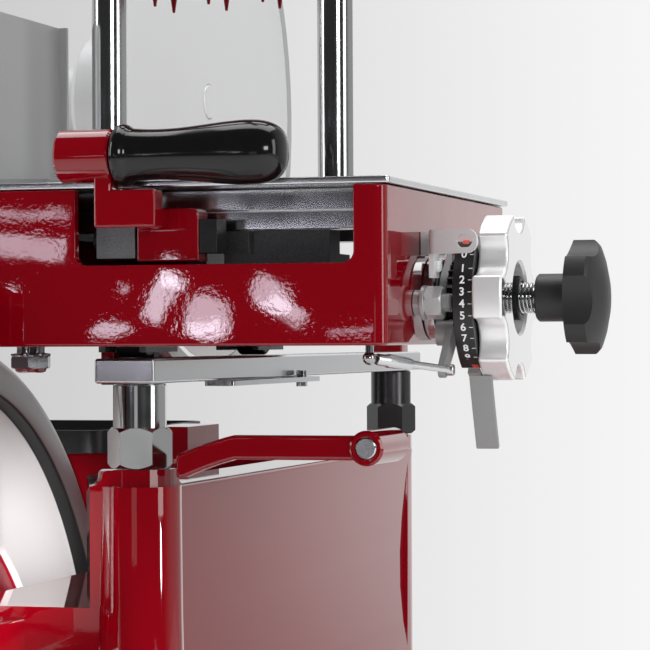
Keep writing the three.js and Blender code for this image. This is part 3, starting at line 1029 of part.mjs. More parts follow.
const linkEnd = new THREE.Vector3(rockerEnd + LINK_END_GAP + 1.8, SCREW_Y + rockerTip.x, SCREW_Z + rockerTip.y);
const linkStart = new THREE.Vector3(ballAt.x, BALL_Y, BALL_Z);
const linkWay = new THREE.Vector3().subVectors(linkEnd, linkStart);
const linkLength = linkWay.length();
const linkTip = linkLength - 4.2;
const socketProfile = [[0, 3.6], [3.4, 3.6], [4, 6], [3.2, 20], [2.1, 22], [1.5, linkTip], [0, linkTip]];
const linkTurn = new THREE.Quaternion().setFromUnitVectors(new THREE.Vector3(0, 1, 0), linkWay.clone().normalize());
const linkLathe = new THREE.LatheGeometry(socketProfile.map(([r, s]) => new THREE.Vector2(r, s)), 12);
linkLathe.applyQuaternion(linkTurn);
linkLathe.translate(linkStart.x, linkStart.y, linkStart.z);
add('link_rod', join(
  solid(linkLathe),
  rod(5, rockerEnd + LINK_END_GAP, rockerEnd + LINK_END_GAP + 3.6, 'x', SMALL, linkEnd.y, linkEnd.z, 0)), brushed);

// Meat table and what stands on it
const tableBottom = CARRIAGE_HEIGHT + FIT;
const tableTop = tableBottom + TABLE_THICKNESS;
const tableOutline = roundedRectangle(boxLeft + 2, 2, 0, CARRIAGE_LENGTH, 2);
const LEVER_PIVOT_Y = 13;
const LEVER_PIVOT_Z = 46;
const LEVER_PIN_RADIUS = 4;
add('meat_table', plate(tableOutline, tableBottom, tableTop, 0.5), stainless);

// Bracket bolted under the table, with two lugs for the release lever
const LUG_LEFT = [-131, -113.4];
const BOLT_HEAD = 8;
const FOOT_LEFT = LUG_LEFT[1] + 1;
const FOOT_RIGHT = -84.3;
const tableBracket = join(
  block(LUG_LEFT[0], LUG_LEFT[1], 10, SLIDE_Y[0][0] - 0.6, tableBottom - 9, tableBottom - FIT),
  block(LUG_LEFT[0], LUG_LEFT[1], 5.6, SLIDE_Y[0][0] - 6, 38, tableBottom - 1));
const pivotHole = rod(LEVER_PIN_RADIUS + FIT, -160, -50, 'x', SMALL, LEVER_PIVOT_Y, LEVER_PIVOT_Z, 0);
add('table_bracket', cut(tableBracket, pivotHole), brushed);
add('lever_bolt', join(
  rod(LEVER_PIN_RADIUS, LUG_LEFT[0] - 3, FOOT_RIGHT + 3, 'x', SMALL, LEVER_PIVOT_Y, LEVER_PIVOT_Z, 0),
  block(FOOT_RIGHT + FIT, FOOT_RIGHT + FIT + BOLT_HEAD, LEVER_PIVOT_Y - 7, LEVER_PIVOT_Y + 6,
    LEVER_PIVOT_Z - 6, LEVER_PIVOT_Z + 8.6)), blackSteel);

// Release lever: hub and grip above the table's edge, an arm down to the notch, a foot on the bolt
const GRIP_Y = -10;
const GRIP_Z = 81.6;
const HUB_FROM = -141;
const HUB_TO = -116.2;
const HUB_RADIUS = 11.4;
const ARM_LEFT = -124.3;
const ARM_RIGHT = -96.6;
const armOutline = new THREE.Shape();
armOutline.moveTo(ARM_LEFT, 50.5);
armOutline.lineTo(ARM_RIGHT, 50.5);
armOutline.lineTo(ARM_RIGHT, 66.8);
armOutline.lineTo(HUB_TO - 0.2, 66.8);
armOutline.lineTo(HUB_TO - 0.2, 88);
armOutline.lineTo(ARM_LEFT, 88);
const footOutline = new THREE.Shape();
footOutline.moveTo(FOOT_LEFT, 36.5);
footOutline.lineTo(FOOT_RIGHT, 36.5);
footOutline.lineTo(FOOT_RIGHT, 56);
footOutline.quadraticCurveTo(FOOT_RIGHT, 59.4, FOOT_RIGHT - 3.4, 59.4);
footOutline.lineTo(FOOT_LEFT, 59.4);
const leverFoot = join(
  panel(footOutline, 5.6, LEVER_PIVOT_Y + 6),
  block(FOOT_LEFT, ARM_RIGHT - 1, GRIP_Y + 3, 8, 51.5, 58.4));
let releaseLever = join(
  chamfered(HUB_RADIUS, HUB_FROM, HUB_TO, 1.2, 'x', ROUND, GRIP_Y, GRIP_Z, 0),
  panel(armOutline, GRIP_Y - 5.5, GRIP_Y + 5.5),
  leverFoot);
releaseLever = cut(releaseLever,
  rod(LEVER_PIN_RADIUS + FIT, -160, -50, 'x', SMALL, LEVER_PIVOT_Y, LEVER_PIVOT_Z, 0),
  rod(5 + FIT, HUB_FROM + 8, 0, 'x', SMALL, GRIP_Y, GRIP_Z, 0));
add('release_lever', releaseLever, enamel);

const gripProfile = new THREE.SplineCurve([
  [11.2, 0], [13.5, 1.8], [13.5, 5.2], [11.4, 8.6], [10.9, 17], [11, 27], [12.6, 42], [13.9, 55.5], [13.8, 65.5],
  [11.7, 71.8], [6.6, 75.3], [0, 76]].map(([r, s]) => new THREE.Vector2(r, s))).getPoints(14);
gripProfile[gripProfile.length - 1].x = 0;
const gripFrom = HUB_TO + FIT;
add('lever_grip', join(
  turned([[0, gripFrom], ...gripProfile.map((p) => [Math.max(p.x, 0), gripFrom + p.y])], PLAIN, 'x', GRIP_Y, GRIP_Z, 0),
  rod(5, HUB_FROM + 9, gripFrom + 5, 'x', SMALL, GRIP_Y, GRIP_Z, 0)), blackPlastic);

// Half nut that drops on the feed screw through the slot of the web
add('half_nut', cut(
  block(-111.5, -101.5, SCREW_Y - 13, SCREW_Y + 13, SCREW_Z + 0.6, webTop + 10),
  rod(SCREW_DIAMETER / 2 + FIT, -120, -60, 'x', PLAIN, SCREW_Y, SCREW_Z, 0)), bronze);

// Columns, the bridge that ties them, the plate that holds the meat down and its spindle
const columnFoot = tableTop + FIT;
const columnTop = columnFoot + COLUMN_HEIGHT;
const column = (x) => chamfered(COLUMN_DIAMETER / 2, columnFoot, columnTop, 0.8, 'z', PLAIN, COLUMN_Y, 0, x);
add('near_column', column(COLUMN_NEAR_X), chrome);
add('far_column', column(COLUMN_FAR_X), chrome);
const columnHoles = (z0, z1) => [COLUMN_NEAR_X, COLUMN_FAR_X].map(
  (x) => rod(COLUMN_DIAMETER / 2 + FIT, z0, z1, 'z', PLAIN, COLUMN_Y, 0, x));
const SPINDLE_X = (COLUMN_NEAR_X + COLUMN_FAR_X) / 2;
const SPINDLE_RADIUS = 6;
const BRIDGE_HEIGHT = 16;
const bridgeFrom = columnTop - BRIDGE_HEIGHT;
const bridgeOutline = roundedRectangle(COLUMN_FAR_X - 13, COLUMN_NEAR_X + 13, COLUMN_Y - 12, COLUMN_Y + 12, 11.5);
add('column_bridge', cut(
  plate(bridgeOutline, bridgeFrom, columnTop - 3, 1.5),
  ...columnHoles(bridgeFrom - 1, columnTop + 1),
  rod(SPINDLE_RADIUS + FIT, bridgeFrom - 1, columnTop + 1, 'z', PLAIN, COLUMN_Y, 0, SPINDLE_X)), enamel);
const CLAMP_Z = 168;
const CLAMP_TRAVEL = 66;
const spindleTop = columnTop + CLAMP_TRAVEL + 5;
const CLAMP_THICKNESS = 9;
const clampBar = plate(
  roundedRectangle(COLUMN_FAR_X - 14, COLUMN_NEAR_X + 14, COLUMN_Y - 13, COLUMN_Y + 60, 12), CLAMP_Z, CLAMP_Z + CLAMP_THICKNESS, 1.2);
const clampTeeth = [];
for (let i = 0; i < 4; i += 1) {
  for (let j = 0; j < 2; j += 1) {
    clampTeeth.push(turned([[0, CLAMP_Z - 12], [0.6, CLAMP_Z - 12], [2.6, CLAMP_Z + 2], [0, CLAMP_Z + 2]],
      SMALL, 'z', COLUMN_Y + 22 + j * 26, 0, COLUMN_FAR_X + 14 + i * 26));
  }
}
add('clamp_plate', cut(join(clampBar, ...clampTeeth), ...columnHoles(CLAMP_Z - 20, CLAMP_Z + 20)), enamel);
add('clamp_spindle', join(
  rod(SPINDLE_RADIUS, CLAMP_Z + CLAMP_THICKNESS + FIT, spindleTop + 2, 'z', SMALL, COLUMN_Y, 0, SPINDLE_X),
  slab(lobedOutline(20, 5, 14, 12, 90), 0, 14, 0, 4).rotate([0, -90, 0])
    .translate([SPINDLE_X, COLUMN_Y, spindleTop])), blackPlastic);

// Fence that holds the meat from the side: a foot plate and a bent upright sheet
const FENCE_BOTTOM = tableTop + FIT;
const FENCE_TOP = 150;
const FENCE_SHEET = 2.5;
const FENCE_Y = [10, 99];
const FENCE_FACE_X = -184.5;
const fenceFoot = block(-198, -156, FENCE_Y[0] + 2, FENCE_Y[1] - 2, FENCE_BOTTOM, FENCE_BOTTOM + FENCE_SHEET);
const fencePanel = block(FENCE_FACE_X - FENCE_SHEET, FENCE_FACE_X, ...FENCE_Y, FENCE_BOTTOM, FENCE_TOP);
const fenceFlange = block(-198, FENCE_FACE_X, FENCE_Y[0], FENCE_Y[0] + FENCE_SHEET, FENCE_BOTTOM, FENCE_TOP);
const fenceLip = block(FENCE_FACE_X - FENCE_SHEET, FENCE_FACE_X + 4, FENCE_Y[1] - FENCE_SHEET, FENCE_Y[1],
  FENCE_BOTTOM, FENCE_TOP);
add('meat_fence', join(fenceFoot, fencePanel, fenceFlange, fenceLip), stainless);

export default machine;
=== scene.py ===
# %% [markdown]
# A hand cranked meat slicer, dressed for its portrait.
# The solid model gives every piece its place and size. This lesson adds the looks: the red enamel with
# its slight casting ripple, the bright steel, the satin wheel with its black dial, and the soft light
# of a product studio. Everything is in metres, with +Z up.

# %% Load the solid model
import json
import math
import bpy
from mathutils import Matrix, Vector

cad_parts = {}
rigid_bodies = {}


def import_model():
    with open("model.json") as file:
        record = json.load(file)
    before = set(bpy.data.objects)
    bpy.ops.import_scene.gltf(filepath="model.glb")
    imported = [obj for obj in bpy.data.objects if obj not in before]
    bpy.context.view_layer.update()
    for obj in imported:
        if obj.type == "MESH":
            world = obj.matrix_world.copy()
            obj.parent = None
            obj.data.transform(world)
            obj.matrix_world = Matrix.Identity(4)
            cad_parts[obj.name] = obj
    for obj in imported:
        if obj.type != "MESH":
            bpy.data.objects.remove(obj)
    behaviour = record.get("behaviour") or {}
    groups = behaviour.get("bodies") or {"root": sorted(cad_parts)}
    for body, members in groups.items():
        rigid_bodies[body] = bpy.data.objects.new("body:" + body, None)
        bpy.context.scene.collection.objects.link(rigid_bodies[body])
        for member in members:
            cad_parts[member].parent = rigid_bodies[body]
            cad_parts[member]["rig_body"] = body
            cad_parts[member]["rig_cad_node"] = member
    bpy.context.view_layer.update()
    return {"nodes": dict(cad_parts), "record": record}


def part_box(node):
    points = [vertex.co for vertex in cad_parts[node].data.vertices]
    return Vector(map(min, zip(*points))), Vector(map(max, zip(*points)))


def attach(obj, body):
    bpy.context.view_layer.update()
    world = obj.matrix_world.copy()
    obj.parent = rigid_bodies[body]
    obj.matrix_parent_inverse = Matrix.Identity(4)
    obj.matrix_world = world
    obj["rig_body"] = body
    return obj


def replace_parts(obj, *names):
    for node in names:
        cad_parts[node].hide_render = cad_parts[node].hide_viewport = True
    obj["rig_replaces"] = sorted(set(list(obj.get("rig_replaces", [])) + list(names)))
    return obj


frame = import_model()
nodes = frame["nodes"]
slot_of = {s["node"]: s["material_slot"] for s in frame["record"]["subparts"]}

# %% [markdown]
# The drawing of this machine is measured in millimetres from one corner of the sliding carriage:
# its lowest near corner on the dial side. `at` turns such a place into metres in the model's frame.
# The boxes of the carriage and of the rail below it give the corner.

# %% A place on the drawing
MM = 0.001
RAIL_GAP = 5.4
corner_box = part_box("carriage_box")
CORNER = Vector((corner_box[1].x, corner_box[0].y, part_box("rail")[1].z + RAIL_GAP * MM))


def at(x, y, z):
    return Vector((CORNER.x + x * MM, CORNER.y + y * MM, CORNER.z + z * MM))


print("drawing corner at", [round(v, 4) for v in CORNER])

# %% [markdown]
# The portrait is taken with a long lens from 1.1 m away, level with the rail. The camera stands a little to
# the right and turns 16 degrees to the left, so the carriage's front and its dial side both show.

# %% Camera
LENS_MM, SENSOR_MM, NEAREST = 150.6, 36, 0.02
TURN, TILT, LEAN = math.radians(16.25), math.radians(0.25), math.radians(-0.29)
EYE = at(294.3, -1099.6, 3.7)
camera_data = bpy.data.cameras.new("portrait_camera")
camera_data.lens = LENS_MM
camera_data.sensor_width = SENSOR_MM
camera_data.clip_start = NEAREST
camera = bpy.data.objects.new("portrait_camera", camera_data)
bpy.context.scene.collection.objects.link(camera)
look = Matrix.Rotation(TURN, 4, "Z") @ Matrix.Rotation(math.pi / 2 + TILT, 4, "X") @ Matrix.Rotation(LEAN, 4, "Z")
camera.matrix_world = Matrix.Translation(EYE) @ look
bpy.context.scene.camera = camera
bpy.context.scene.view_settings.view_transform = "Standard"
print("camera stands at", [round(v, 3) for v in EYE])

# %% [markdown]
# Before any piece is made, a few habits. An operator works on whatever is selected, so each step starts
# by letting go of everything. A new piece is finished the same way each time: its faces are shaded, it
# rides on a body of the model, hides the plain solid that it stands for, and takes its finish.

# %% Habits of the workshop
MERGE = 1e-6


def let_go():
    if bpy.context.object and bpy.context.object.mode != "OBJECT":
        bpy.ops.object.mode_set(mode="OBJECT")
    bpy.ops.object.select_all(action="DESELECT")


def take_up(*pieces):
    let_go()
    for piece in pieces:
        piece.select_set(True)
    bpy.context.view_layer.objects.active = pieces[0]


def take_all():
    bpy.ops.mesh.select_all(action="SELECT")


def open_up(piece):
    take_up(piece)
    bpy.ops.object.mode_set(mode="EDIT")
    take_all()


def close_up():
    bpy.ops.object.mode_set(mode="OBJECT")


def joined(pieces):
    take_up(*pieces)
    bpy.ops.object.join()
    return bpy.context.object


def altered(piece, name, kind, **settings):
    modifier = piece.modifiers.new(name, kind)
    for label, value in settings.items():
        setattr(modifier, label, value)
    take_up(piece)
    bpy.ops.object.modifier_apply(modifier=name)


def settle(piece):
    take_up(piece)
    bpy.ops.object.transform_apply(location=True, rotation=True, scale=True)


def smooth(piece, degrees=32, flats=True):
    take_up(piece)
    bpy.ops.object.shade_smooth_by_angle(angle=math.radians(degrees))
    if flats:
        altered(piece, "even", "WEIGHTED_NORMAL", keep_sharp=True, weight=100)


def ease(piece, width, segments=3, degrees=32):
    altered(piece, "eased", "BEVEL", width=width * MM, segments=segments, limit_method="ANGLE",
            angle_limit=math.radians(degrees), use_clamp_overlap=True)


def mend(piece):
    open_up(piece)
    bpy.ops.mesh.remove_doubles(threshold=MERGE)
    bpy.ops.mesh.normals_make_consistent(inside=False)
    close_up()


def finished(piece, name, finish, node=None, body=None, angle=32, flats=True):
    if angle:
        smooth(piece, angle, flats)
    piece.name = name
    piece.data.name = name
    piece.data.materials.clear()
    piece.data.materials.append(finish)
    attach(piece, body or nodes[node]["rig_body"])
    if node:
        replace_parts(piece, node)
    print(name, len(piece.data.polygons), "faces")
    return piece


print("slots", sorted(set(slot_of.values())))

# %% [markdown]
# Round pieces are turned, as on a lathe: a profile is drawn by extruding a single corner from point to
# point, and then spun once round. Its numbers are pairs of radius and place along the axis.

# %% Turning
AXES = {"x": Vector((1, 0, 0)), "y": Vector((0, 1, 0)), "z": Vector((0, 0, 1))}
OUTWARD = {"x": AXES["z"], "y": AXES["z"], "z": -AXES["y"]}


def draw_line(points):
    let_go()
    bpy.ops.mesh.primitive_plane_add(size=MM, location=points[0])
    piece = bpy.context.object
    settle(piece)
    open_up(piece)
    bpy.ops.mesh.merge(type="CENTER")
    for before, after in zip(points, points[1:]):
        bpy.ops.mesh.extrude_vertices_move(TRANSFORM_OT_translate={"value": tuple(after - before)})
    take_all()
    return piece


def turned(profile, axis, through, steps=96, along=None):
    way = along or AXES[axis]
    out = way.orthogonal().normalized() if along else OUTWARD[axis]
    piece = draw_line([through + out * (r * MM) + way * (s * MM) for r, s in profile])
    bpy.ops.mesh.spin(steps=steps, angle=2 * math.pi, center=through, axis=way)
    close_up()
    mend(piece)
    return piece


# %% [markdown]
# Flat pieces with an outline, such as a wheel with lobes, are drawn the same way and then filled and
# pulled to their thickness. Easing the edges afterwards catches the light, as a real deburred edge does.

# %% Cutting from plate
def closed_line(points):
    piece = draw_line([*points, points[0]])
    bpy.ops.mesh.remove_doubles(threshold=MERGE / 10)
    take_all()
    return piece


def cut_out(points, depth):
    piece = closed_line(points)
    bpy.ops.mesh.edge_face_add()
    take_all()
    bpy.ops.mesh.extrude_region_move(TRANSFORM_OT_translate={"value": tuple(depth)})
    close_up()
    mend(piece)
    return piece


def brick(x0, x1, y0, y1, z0, z1):
    let_go()
    low, high = at(x0, y0, z0), at(x1, y1, z1)
    bpy.ops.mesh.primitive_cube_add(size=1, location=(low + high) / 2)
    piece = bpy.context.object
    piece.scale = high - low
    settle(piece)
    return piece


def combine(piece, others, how="UNION"):
    for other in others:
        altered(piece, how, "BOOLEAN", operation=how, solver="EXACT", object=other)
        bpy.data.objects.remove(other)
    mend(piece)
    return piece


def cut_away(piece, others):
    return combine(piece, others, "DIFFERENCE")


# %% [markdown]
# Where the solid model's shape is already right, the piece is a copy of it. The copy's loose triangles are
# joined, its flat faces are made whole, and its edges are eased so that they catch a thin line of light.

# %% Easing a plain solid
def eased(node, finish):
    piece = nodes[node].copy()
    piece.data = nodes[node].data.copy()
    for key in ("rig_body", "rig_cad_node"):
        del piece[key]
    piece.parent = None
    bpy.context.scene.collection.objects.link(piece)
    open_up(piece)
    bpy.ops.mesh.remove_doubles(threshold=2 * MERGE)
    take_all()
    bpy.ops.mesh.dissolve_limited(angle_limit=math.radians(0.6))
    close_up()
    ease(piece, 0.3, 2)
    finished(piece, node + "_look", finish, node)


# %% [markdown]
# The studio: a pale floor, four soft lamps and two narrow ones for the flywheel's bright ring, and a world
# that is pale to the eye and greyer on the sides and behind the camera. Polished steel only looks like
# steel when it has something darker to mirror, so the grey sides give the posts and the wheel their bands.

# %% Floor
FLOOR_SIZE, FLOOR_DROP = (7, 4.6, 1), 0.0008
paper = bpy.data.materials.new("studio_paper")
paper.use_nodes = True
for label, value in (("Base Color", (0.86, 0.86, 0.86, 1)), ("Roughness", 0.9), ("Specular IOR Level", 0.1)):
    paper.node_tree.nodes["Principled BSDF"].inputs[label].default_value = value
let_go()
bpy.ops.mesh.primitive_plane_add(size=1, location=(0, 0, -FLOOR_DROP))
floor = bpy.context.object
floor.scale = FLOOR_SIZE
settle(floor)
floor.name = "floor"
floor.data.materials.append(paper)
print("floor laid", [round(v, 2) for v in floor.dimensions])

# %% [markdown]
# Every material, and the world too, is a small tree of nodes. `put` sets one node in a tree. What it is
# given for a socket is either a plain value or another node's output, which is then linked.

# %% Nodes and their sums
def put(tree, kind, given, **settings):
    node = tree.nodes.new("ShaderNode" + kind)
    for label, value in settings.items():
        setattr(node, label, value)
    for label, value in given.items():
        if isinstance(value, bpy.types.NodeSocket):
            tree.links.new(value, node.inputs[label])
        else:
            node.inputs[label].default_value = value
    return node


def arithmetic(tree, how, a, b=0.0):
    return put(tree, "Math", {0: a, 1: b}, operation=how).outputs[0]


def ramp(tree, value, low, high, start=0.0, end=1.0):
    limits = {"From Min": low, "From Max": high, "To Min": start, "To Max": end, "Value": value}
    return put(tree, "MapRange", limits, interpolation_type="SMOOTHSTEP").outputs[0]


def mixed(tree, factor, a, b, kind="FLOAT"):
    return put(tree, "Mix", {"Factor": factor, "A": a, "B": b}, data_type=kind).outputs["Result"]


# %% World
FRONT_LEVEL, PLAIN_LEVEL = 0.03, 0.62
world = bpy.data.worlds.new("studio")
bpy.context.scene.world = world
world.use_nodes = True
w = world.node_tree
direction = put(w, "TexCoord", {}).outputs["Generated"]
split = put(w, "SeparateXYZ", {0: direction}).outputs
across = ramp(w, split["X"], -0.44, -0.10, 0.60, 0.95)
side_shade = ramp(w, split["X"], 0.20, 0.34, 1.0, 0.42)
lit_side = arithmetic(w, "MULTIPLY", across, side_shade)
backdrop = mixed(w, ramp(w, split["Y"], -0.15, 0.45), FRONT_LEVEL, lit_side)
path = put(w, "LightPath", {}).outputs
mirrored = arithmetic(w, "MAXIMUM", path["Is Glossy Ray"], path["Is Transmission Ray"])
looked_at = arithmetic(w, "MAXIMUM", path["Is Camera Ray"], mirrored)
background = w.nodes["Background"].inputs
w.links.new(mixed(w, looked_at, PLAIN_LEVEL, backdrop), background["Strength"])
background["Color"].default_value = (1, 1, 1, 1)
print("world set")

# %% Lamps
def aimed(name, kind, place, aim, watts):
    bpy.ops.object.light_add(type=kind, location=place)
    lamp = bpy.context.object
    lamp.name = name
    lamp.data.name = name
    lamp.data.energy = watts
    lamp.rotation_euler = (Vector(aim) - Vector(place)).to_track_quat("-Z", "Y").to_euler()
    return lamp


def soft_lamp(name, place, aim, size, watts, shape="RECTANGLE"):
    lamp = aimed(name, "AREA", place, aim, watts)
    lamp.data.shape = shape
    lamp.data.size, lamp.data.size_y = size
    return lamp


def narrow_lamp(name, place, aim, degrees, watts):
    spot = aimed(name, "SPOT", place, aim, watts).data
    spot.spot_size = math.radians(degrees)
    spot.spot_blend = 0.5
    spot.shadow_soft_size = 0.03


MIDDLE = at(-60, 60, 10)
soft_lamp("window_left", (-2.0, -0.8, 1.1), MIDDLE, (0.6, 1.3), 12)
soft_lamp("window_right", (1.7, -0.5, 0.9), MIDDLE, (0.5, 1.3), 7)
soft_lamp("overhead", (0.1, 0.2, 1.9), MIDDLE, (1.4, 1.0), 13)
soft_lamp("low_fill", (1.2, -1.7, 0.85), at(-235, 170, -80), (0.5, 0.4), 7)
narrow_lamp("ring_lamp", at(270, -1140, 20), at(-255, 190, -98), 4.0, 190)
narrow_lamp("ring_side_lamp", at(900, -200, -160), at(-238, -40, -130), 9.0, 80)
print("six lamps")

# %% [markdown]
# The glossy front of the carriage mirrors what stands behind the camera. Some small bright panels there
# give it the pale patches that a photographer's reflectors make. Each panel is placed by the spot on the
# front face where it has to appear: as far behind that spot's mirror image as the camera is in front.
# One more panel lights the nut of the near post.

# %% Small reflectors near the camera
def reflector(name, x, z, width, height, watts, lean, shape="RECTANGLE"):
    spot = at(x, 0, z)
    image = EYE + (spot - EYE) * 2
    place = Vector((image.x, 2 * spot.y - image.y, image.z))
    panel = soft_lamp(name, place, spot, (width * 2 * MM, height * 2 * MM), watts, shape)
    panel.rotation_euler.rotate_axis("Z", math.radians(lean))
    panel.data.color = (0.90, 0.86, 1.0)


REFLECTORS = [
    (-99.0, 21.5, 9.0, 23.0, 0.024, -24),
    (-93.5, 26.5, 10, 6, 0.007, -10),
    (-78.2, 11.0, 18.5, 21.0, 0.028, 0, "ELLIPSE"),
    (-81, 6.5, 14, 6, 0.009, 0),
    (-49.6, 21.0, 13.0, 22.0, 0.02, 38, "ELLIPSE"),
    (-43.5, 13.5, 19, 9, 0.016, -34),
    (-122.3, 6.7, 16.5, 6.0, 0.008, 4, "ELLIPSE"),
    (-159.6, 58.2, 32.2, 3.4, 0.007, -2),
    (-160.6, 43.4, 33.0, 10.5, 0.026, -6),
    (-171.0, 22.2, 10.4, 5.9, 0.007, 25, "ELLIPSE"),
    (-14.4, 4.4, 19.1, 2.1, 0.003, 4),
    (-116.0, 23.6, 3.6, 3.0, 0.001, 10, "ELLIPSE"),
]
for i, panel in enumerate(REFLECTORS):
    reflector("reflector_%d" % i, *panel)
soft_lamp("nut_panel", at(-43, -1200, -70), at(-130, 0, -50), (0.3, 0.2), 0.09)
print("reflectors", len(REFLECTORS) + 1)

# %% [markdown]
# Finishes. Four small effects are shared by many of them, so each is built once as a group with named
# values: the ripple of thick enamel over a casting, the faint marks of handling that vary the gloss,
# the rings that a lathe leaves round an axis, and the grit of a rough casting or of moulded rubber.

# %% A group with named sockets
def group(name, values, results):
    tree = bpy.data.node_groups.new(name, "ShaderNodeTree")
    tree.interface.new_socket(name="Vector", in_out="INPUT", socket_type="NodeSocketVector")
    for label, value in values.items():
        kind = "NodeSocketFloat" if isinstance(value, float) else "NodeSocketColor"
        tree.interface.new_socket(name=label, in_out="INPUT", socket_type=kind).default_value = value
    for label in results:
        kind = "NodeSocketColor" if label == "Colour" else "NodeSocketFloat"
        tree.interface.new_socket(name=label, in_out="OUTPUT", socket_type=kind)
    print("group", name)
    return tree, tree.nodes.new("NodeGroupInput").outputs, tree.nodes.new("NodeGroupOutput").inputs


def noise_in(tree, vector, scale, detail=2.0):
    return put(tree, "TexNoise", {"Detail": detail, "Vector": vector, "Scale": scale}).outputs["Fac"]


# %% Ripple of enamel over a casting
RIPPLE, given, out = group("enamel_ripple", {"Broad": 70.0, "Fine": 420.0, "Fine Share": 0.25}, ["Height"])
broad = noise_in(RIPPLE, given["Vector"], given["Broad"])
fine = noise_in(RIPPLE, given["Vector"], given["Fine"])
share = arithmetic(RIPPLE, "MULTIPLY", fine, given["Fine Share"])
RIPPLE.links.new(arithmetic(RIPPLE, "ADD", broad, share), out["Height"])

# %% Marks of handling
MARKS, given, out = group("handling_marks", {"Size": 30.0, "Low": 0.1, "High": 0.2}, ["Roughness"])
cloud = noise_in(MARKS, given["Vector"], given["Size"], 4.0)
limits = {"From Min": 0.35, "From Max": 0.7, "Value": cloud, "To Min": given["Low"], "To Max": given["High"]}
MARKS.links.new(put(MARKS, "MapRange", limits).outputs[0], out["Roughness"])

# %% Rings of the lathe
RINGS, given, out = group("lathe_rings", {"Rings": 2600.0}, ["Height", "Radius"])
parts = put(RINGS, "SeparateXYZ", {0: given["Vector"]}).outputs
y2, z2 = (arithmetic(RINGS, "MULTIPLY", parts[axis], parts[axis]) for axis in "YZ")
radius = arithmetic(RINGS, "SQRT", arithmetic(RINGS, "ADD", y2, z2))
turns = arithmetic(RINGS, "MULTIPLY", radius, given["Rings"])
line = put(RINGS, "TexNoise", {"Scale": 1.0, "Detail": 1.0, "W": turns}, noise_dimensions="1D")
RINGS.links.new(line.outputs["Fac"], out["Height"])
RINGS.links.new(radius, out["Radius"])

# %% Grit
values = {"Grain": 900.0, "Dark": (0.1, 0.1, 0.1, 1), "Light": (0.3, 0.3, 0.3, 1)}
GRIT, given, out = group("casting_grit", values, ["Height", "Colour"])
grain = noise_in(GRIT, given["Vector"], given["Grain"], 3.0)
patch = noise_in(GRIT, given["Vector"], 60.0, 3.0)
share = arithmetic(GRIT, "MULTIPLY", arithmetic(GRIT, "ADD", grain, patch), 0.5)
GRIT.links.new(mixed(GRIT, share, given["Dark"], given["Light"], "RGBA"), out["Colour"])
GRIT.links.new(grain, out["Height"])

# %% [markdown]
# A finish starts from its plain colour, metal share and gloss. The groups then vary the gloss and raise
# the surface a little. Sizes are per metre, so 400 means a pattern of about two and a half millimetres.

# %% Starting a finish
class Finish:
    def __init__(self, name, colour, metal, rough, stretch=(1, 1, 1), centre=(0, 0, 0)):
        self.material = bpy.data.materials.new(name)
        self.material.use_nodes = True
        self.tree = self.material.node_tree
        self.shader = self.tree.nodes["Principled BSDF"].inputs
        for label, value in (("Base Color", (*colour, 1)), ("Metallic", metal), ("Roughness", rough)):
            self.shader[label].default_value = value
        place = put(self.tree, "TexCoord", {}).outputs["Object"]
        shift = [-c * s for c, s in zip(centre, stretch)]
        self.place = put(self.tree, "Mapping", {"Scale": stretch, "Location": shift, "Vector": place}).outputs["Vector"]

    def use(self, which, **values):
        node = self.tree.nodes.new("ShaderNodeGroup")
        node.node_tree = which
        self.tree.links.new(self.place, node.inputs["Vector"])
        for label, value in values.items():
            node.inputs[label.replace("_", " ")].default_value = value
        return node.outputs

    def raise_by(self, height, strength, distance):
        bump = put(self.tree, "Bump", {"Strength": strength, "Distance": distance, "Height": height})
        self.tree.links.new(bump.outputs["Normal"], self.shader["Normal"])

    def ripple(self, broad, fine, share, strength, distance):
        waves = self.use(RIPPLE, Broad=broad, Fine=fine, Fine_Share=share)
        self.raise_by(waves["Height"], strength, distance)

    def vary_gloss(self, size, low, high):
        marks = self.use(MARKS, Size=size, Low=low, High=high)
        self.tree.links.new(marks["Roughness"], self.shader["Roughness"])
        return self.material


# %% Red enamel
def red_enamel(name, broad, depth, high):
    finish = Finish(name, (0.205, 0.0006, 0.0050), 0.0, 0.04)
    for label, value in (("IOR", 1.5), ("Coat Weight", 0.5), ("Coat Roughness", 0.02)):
        finish.shader[label].default_value = value
    finish.ripple(broad, 560.0, 0.10, depth, 0.0004)
    return finish.vary_gloss(26.0, 0.0, high)


ENAMEL = red_enamel("red_enamel", 38.0, 0.22, 0.015)
ENAMEL_SMOOTH = red_enamel("red_enamel_base", 14.0, 0.08, 0.03)
print("finish", ENAMEL.name, ENAMEL_SMOOTH.name)

# %% Metals
def bright_steel(name, colour, low, high):
    return Finish(name, colour, 1.0, low).vary_gloss(40.0, low, high)


def grained_steel(name, stretch, colour, low, high, depth):
    finish = Finish(name, colour, 1.0, low, stretch)
    finish.ripple(160.0, 900.0, 0.8, depth, 0.0002)
    return finish.vary_gloss(18.0, low, high)


def painted_metal(name, colour, metal, low, high):
    finish = Finish(name, colour, metal, low)
    finish.ripple(90.0, 700.0, 0.3, 0.08, 0.0002)
    return finish.vary_gloss(30.0, low, high)


def turned_steel(name, centre, colour, low, high, depth):
    finish = Finish(name, colour, 1.0, low, centre=centre)
    finish.raise_by(finish.use(RINGS, Rings=2600.0)["Height"], depth, 0.0001)
    return finish.vary_gloss(60.0, low, high)


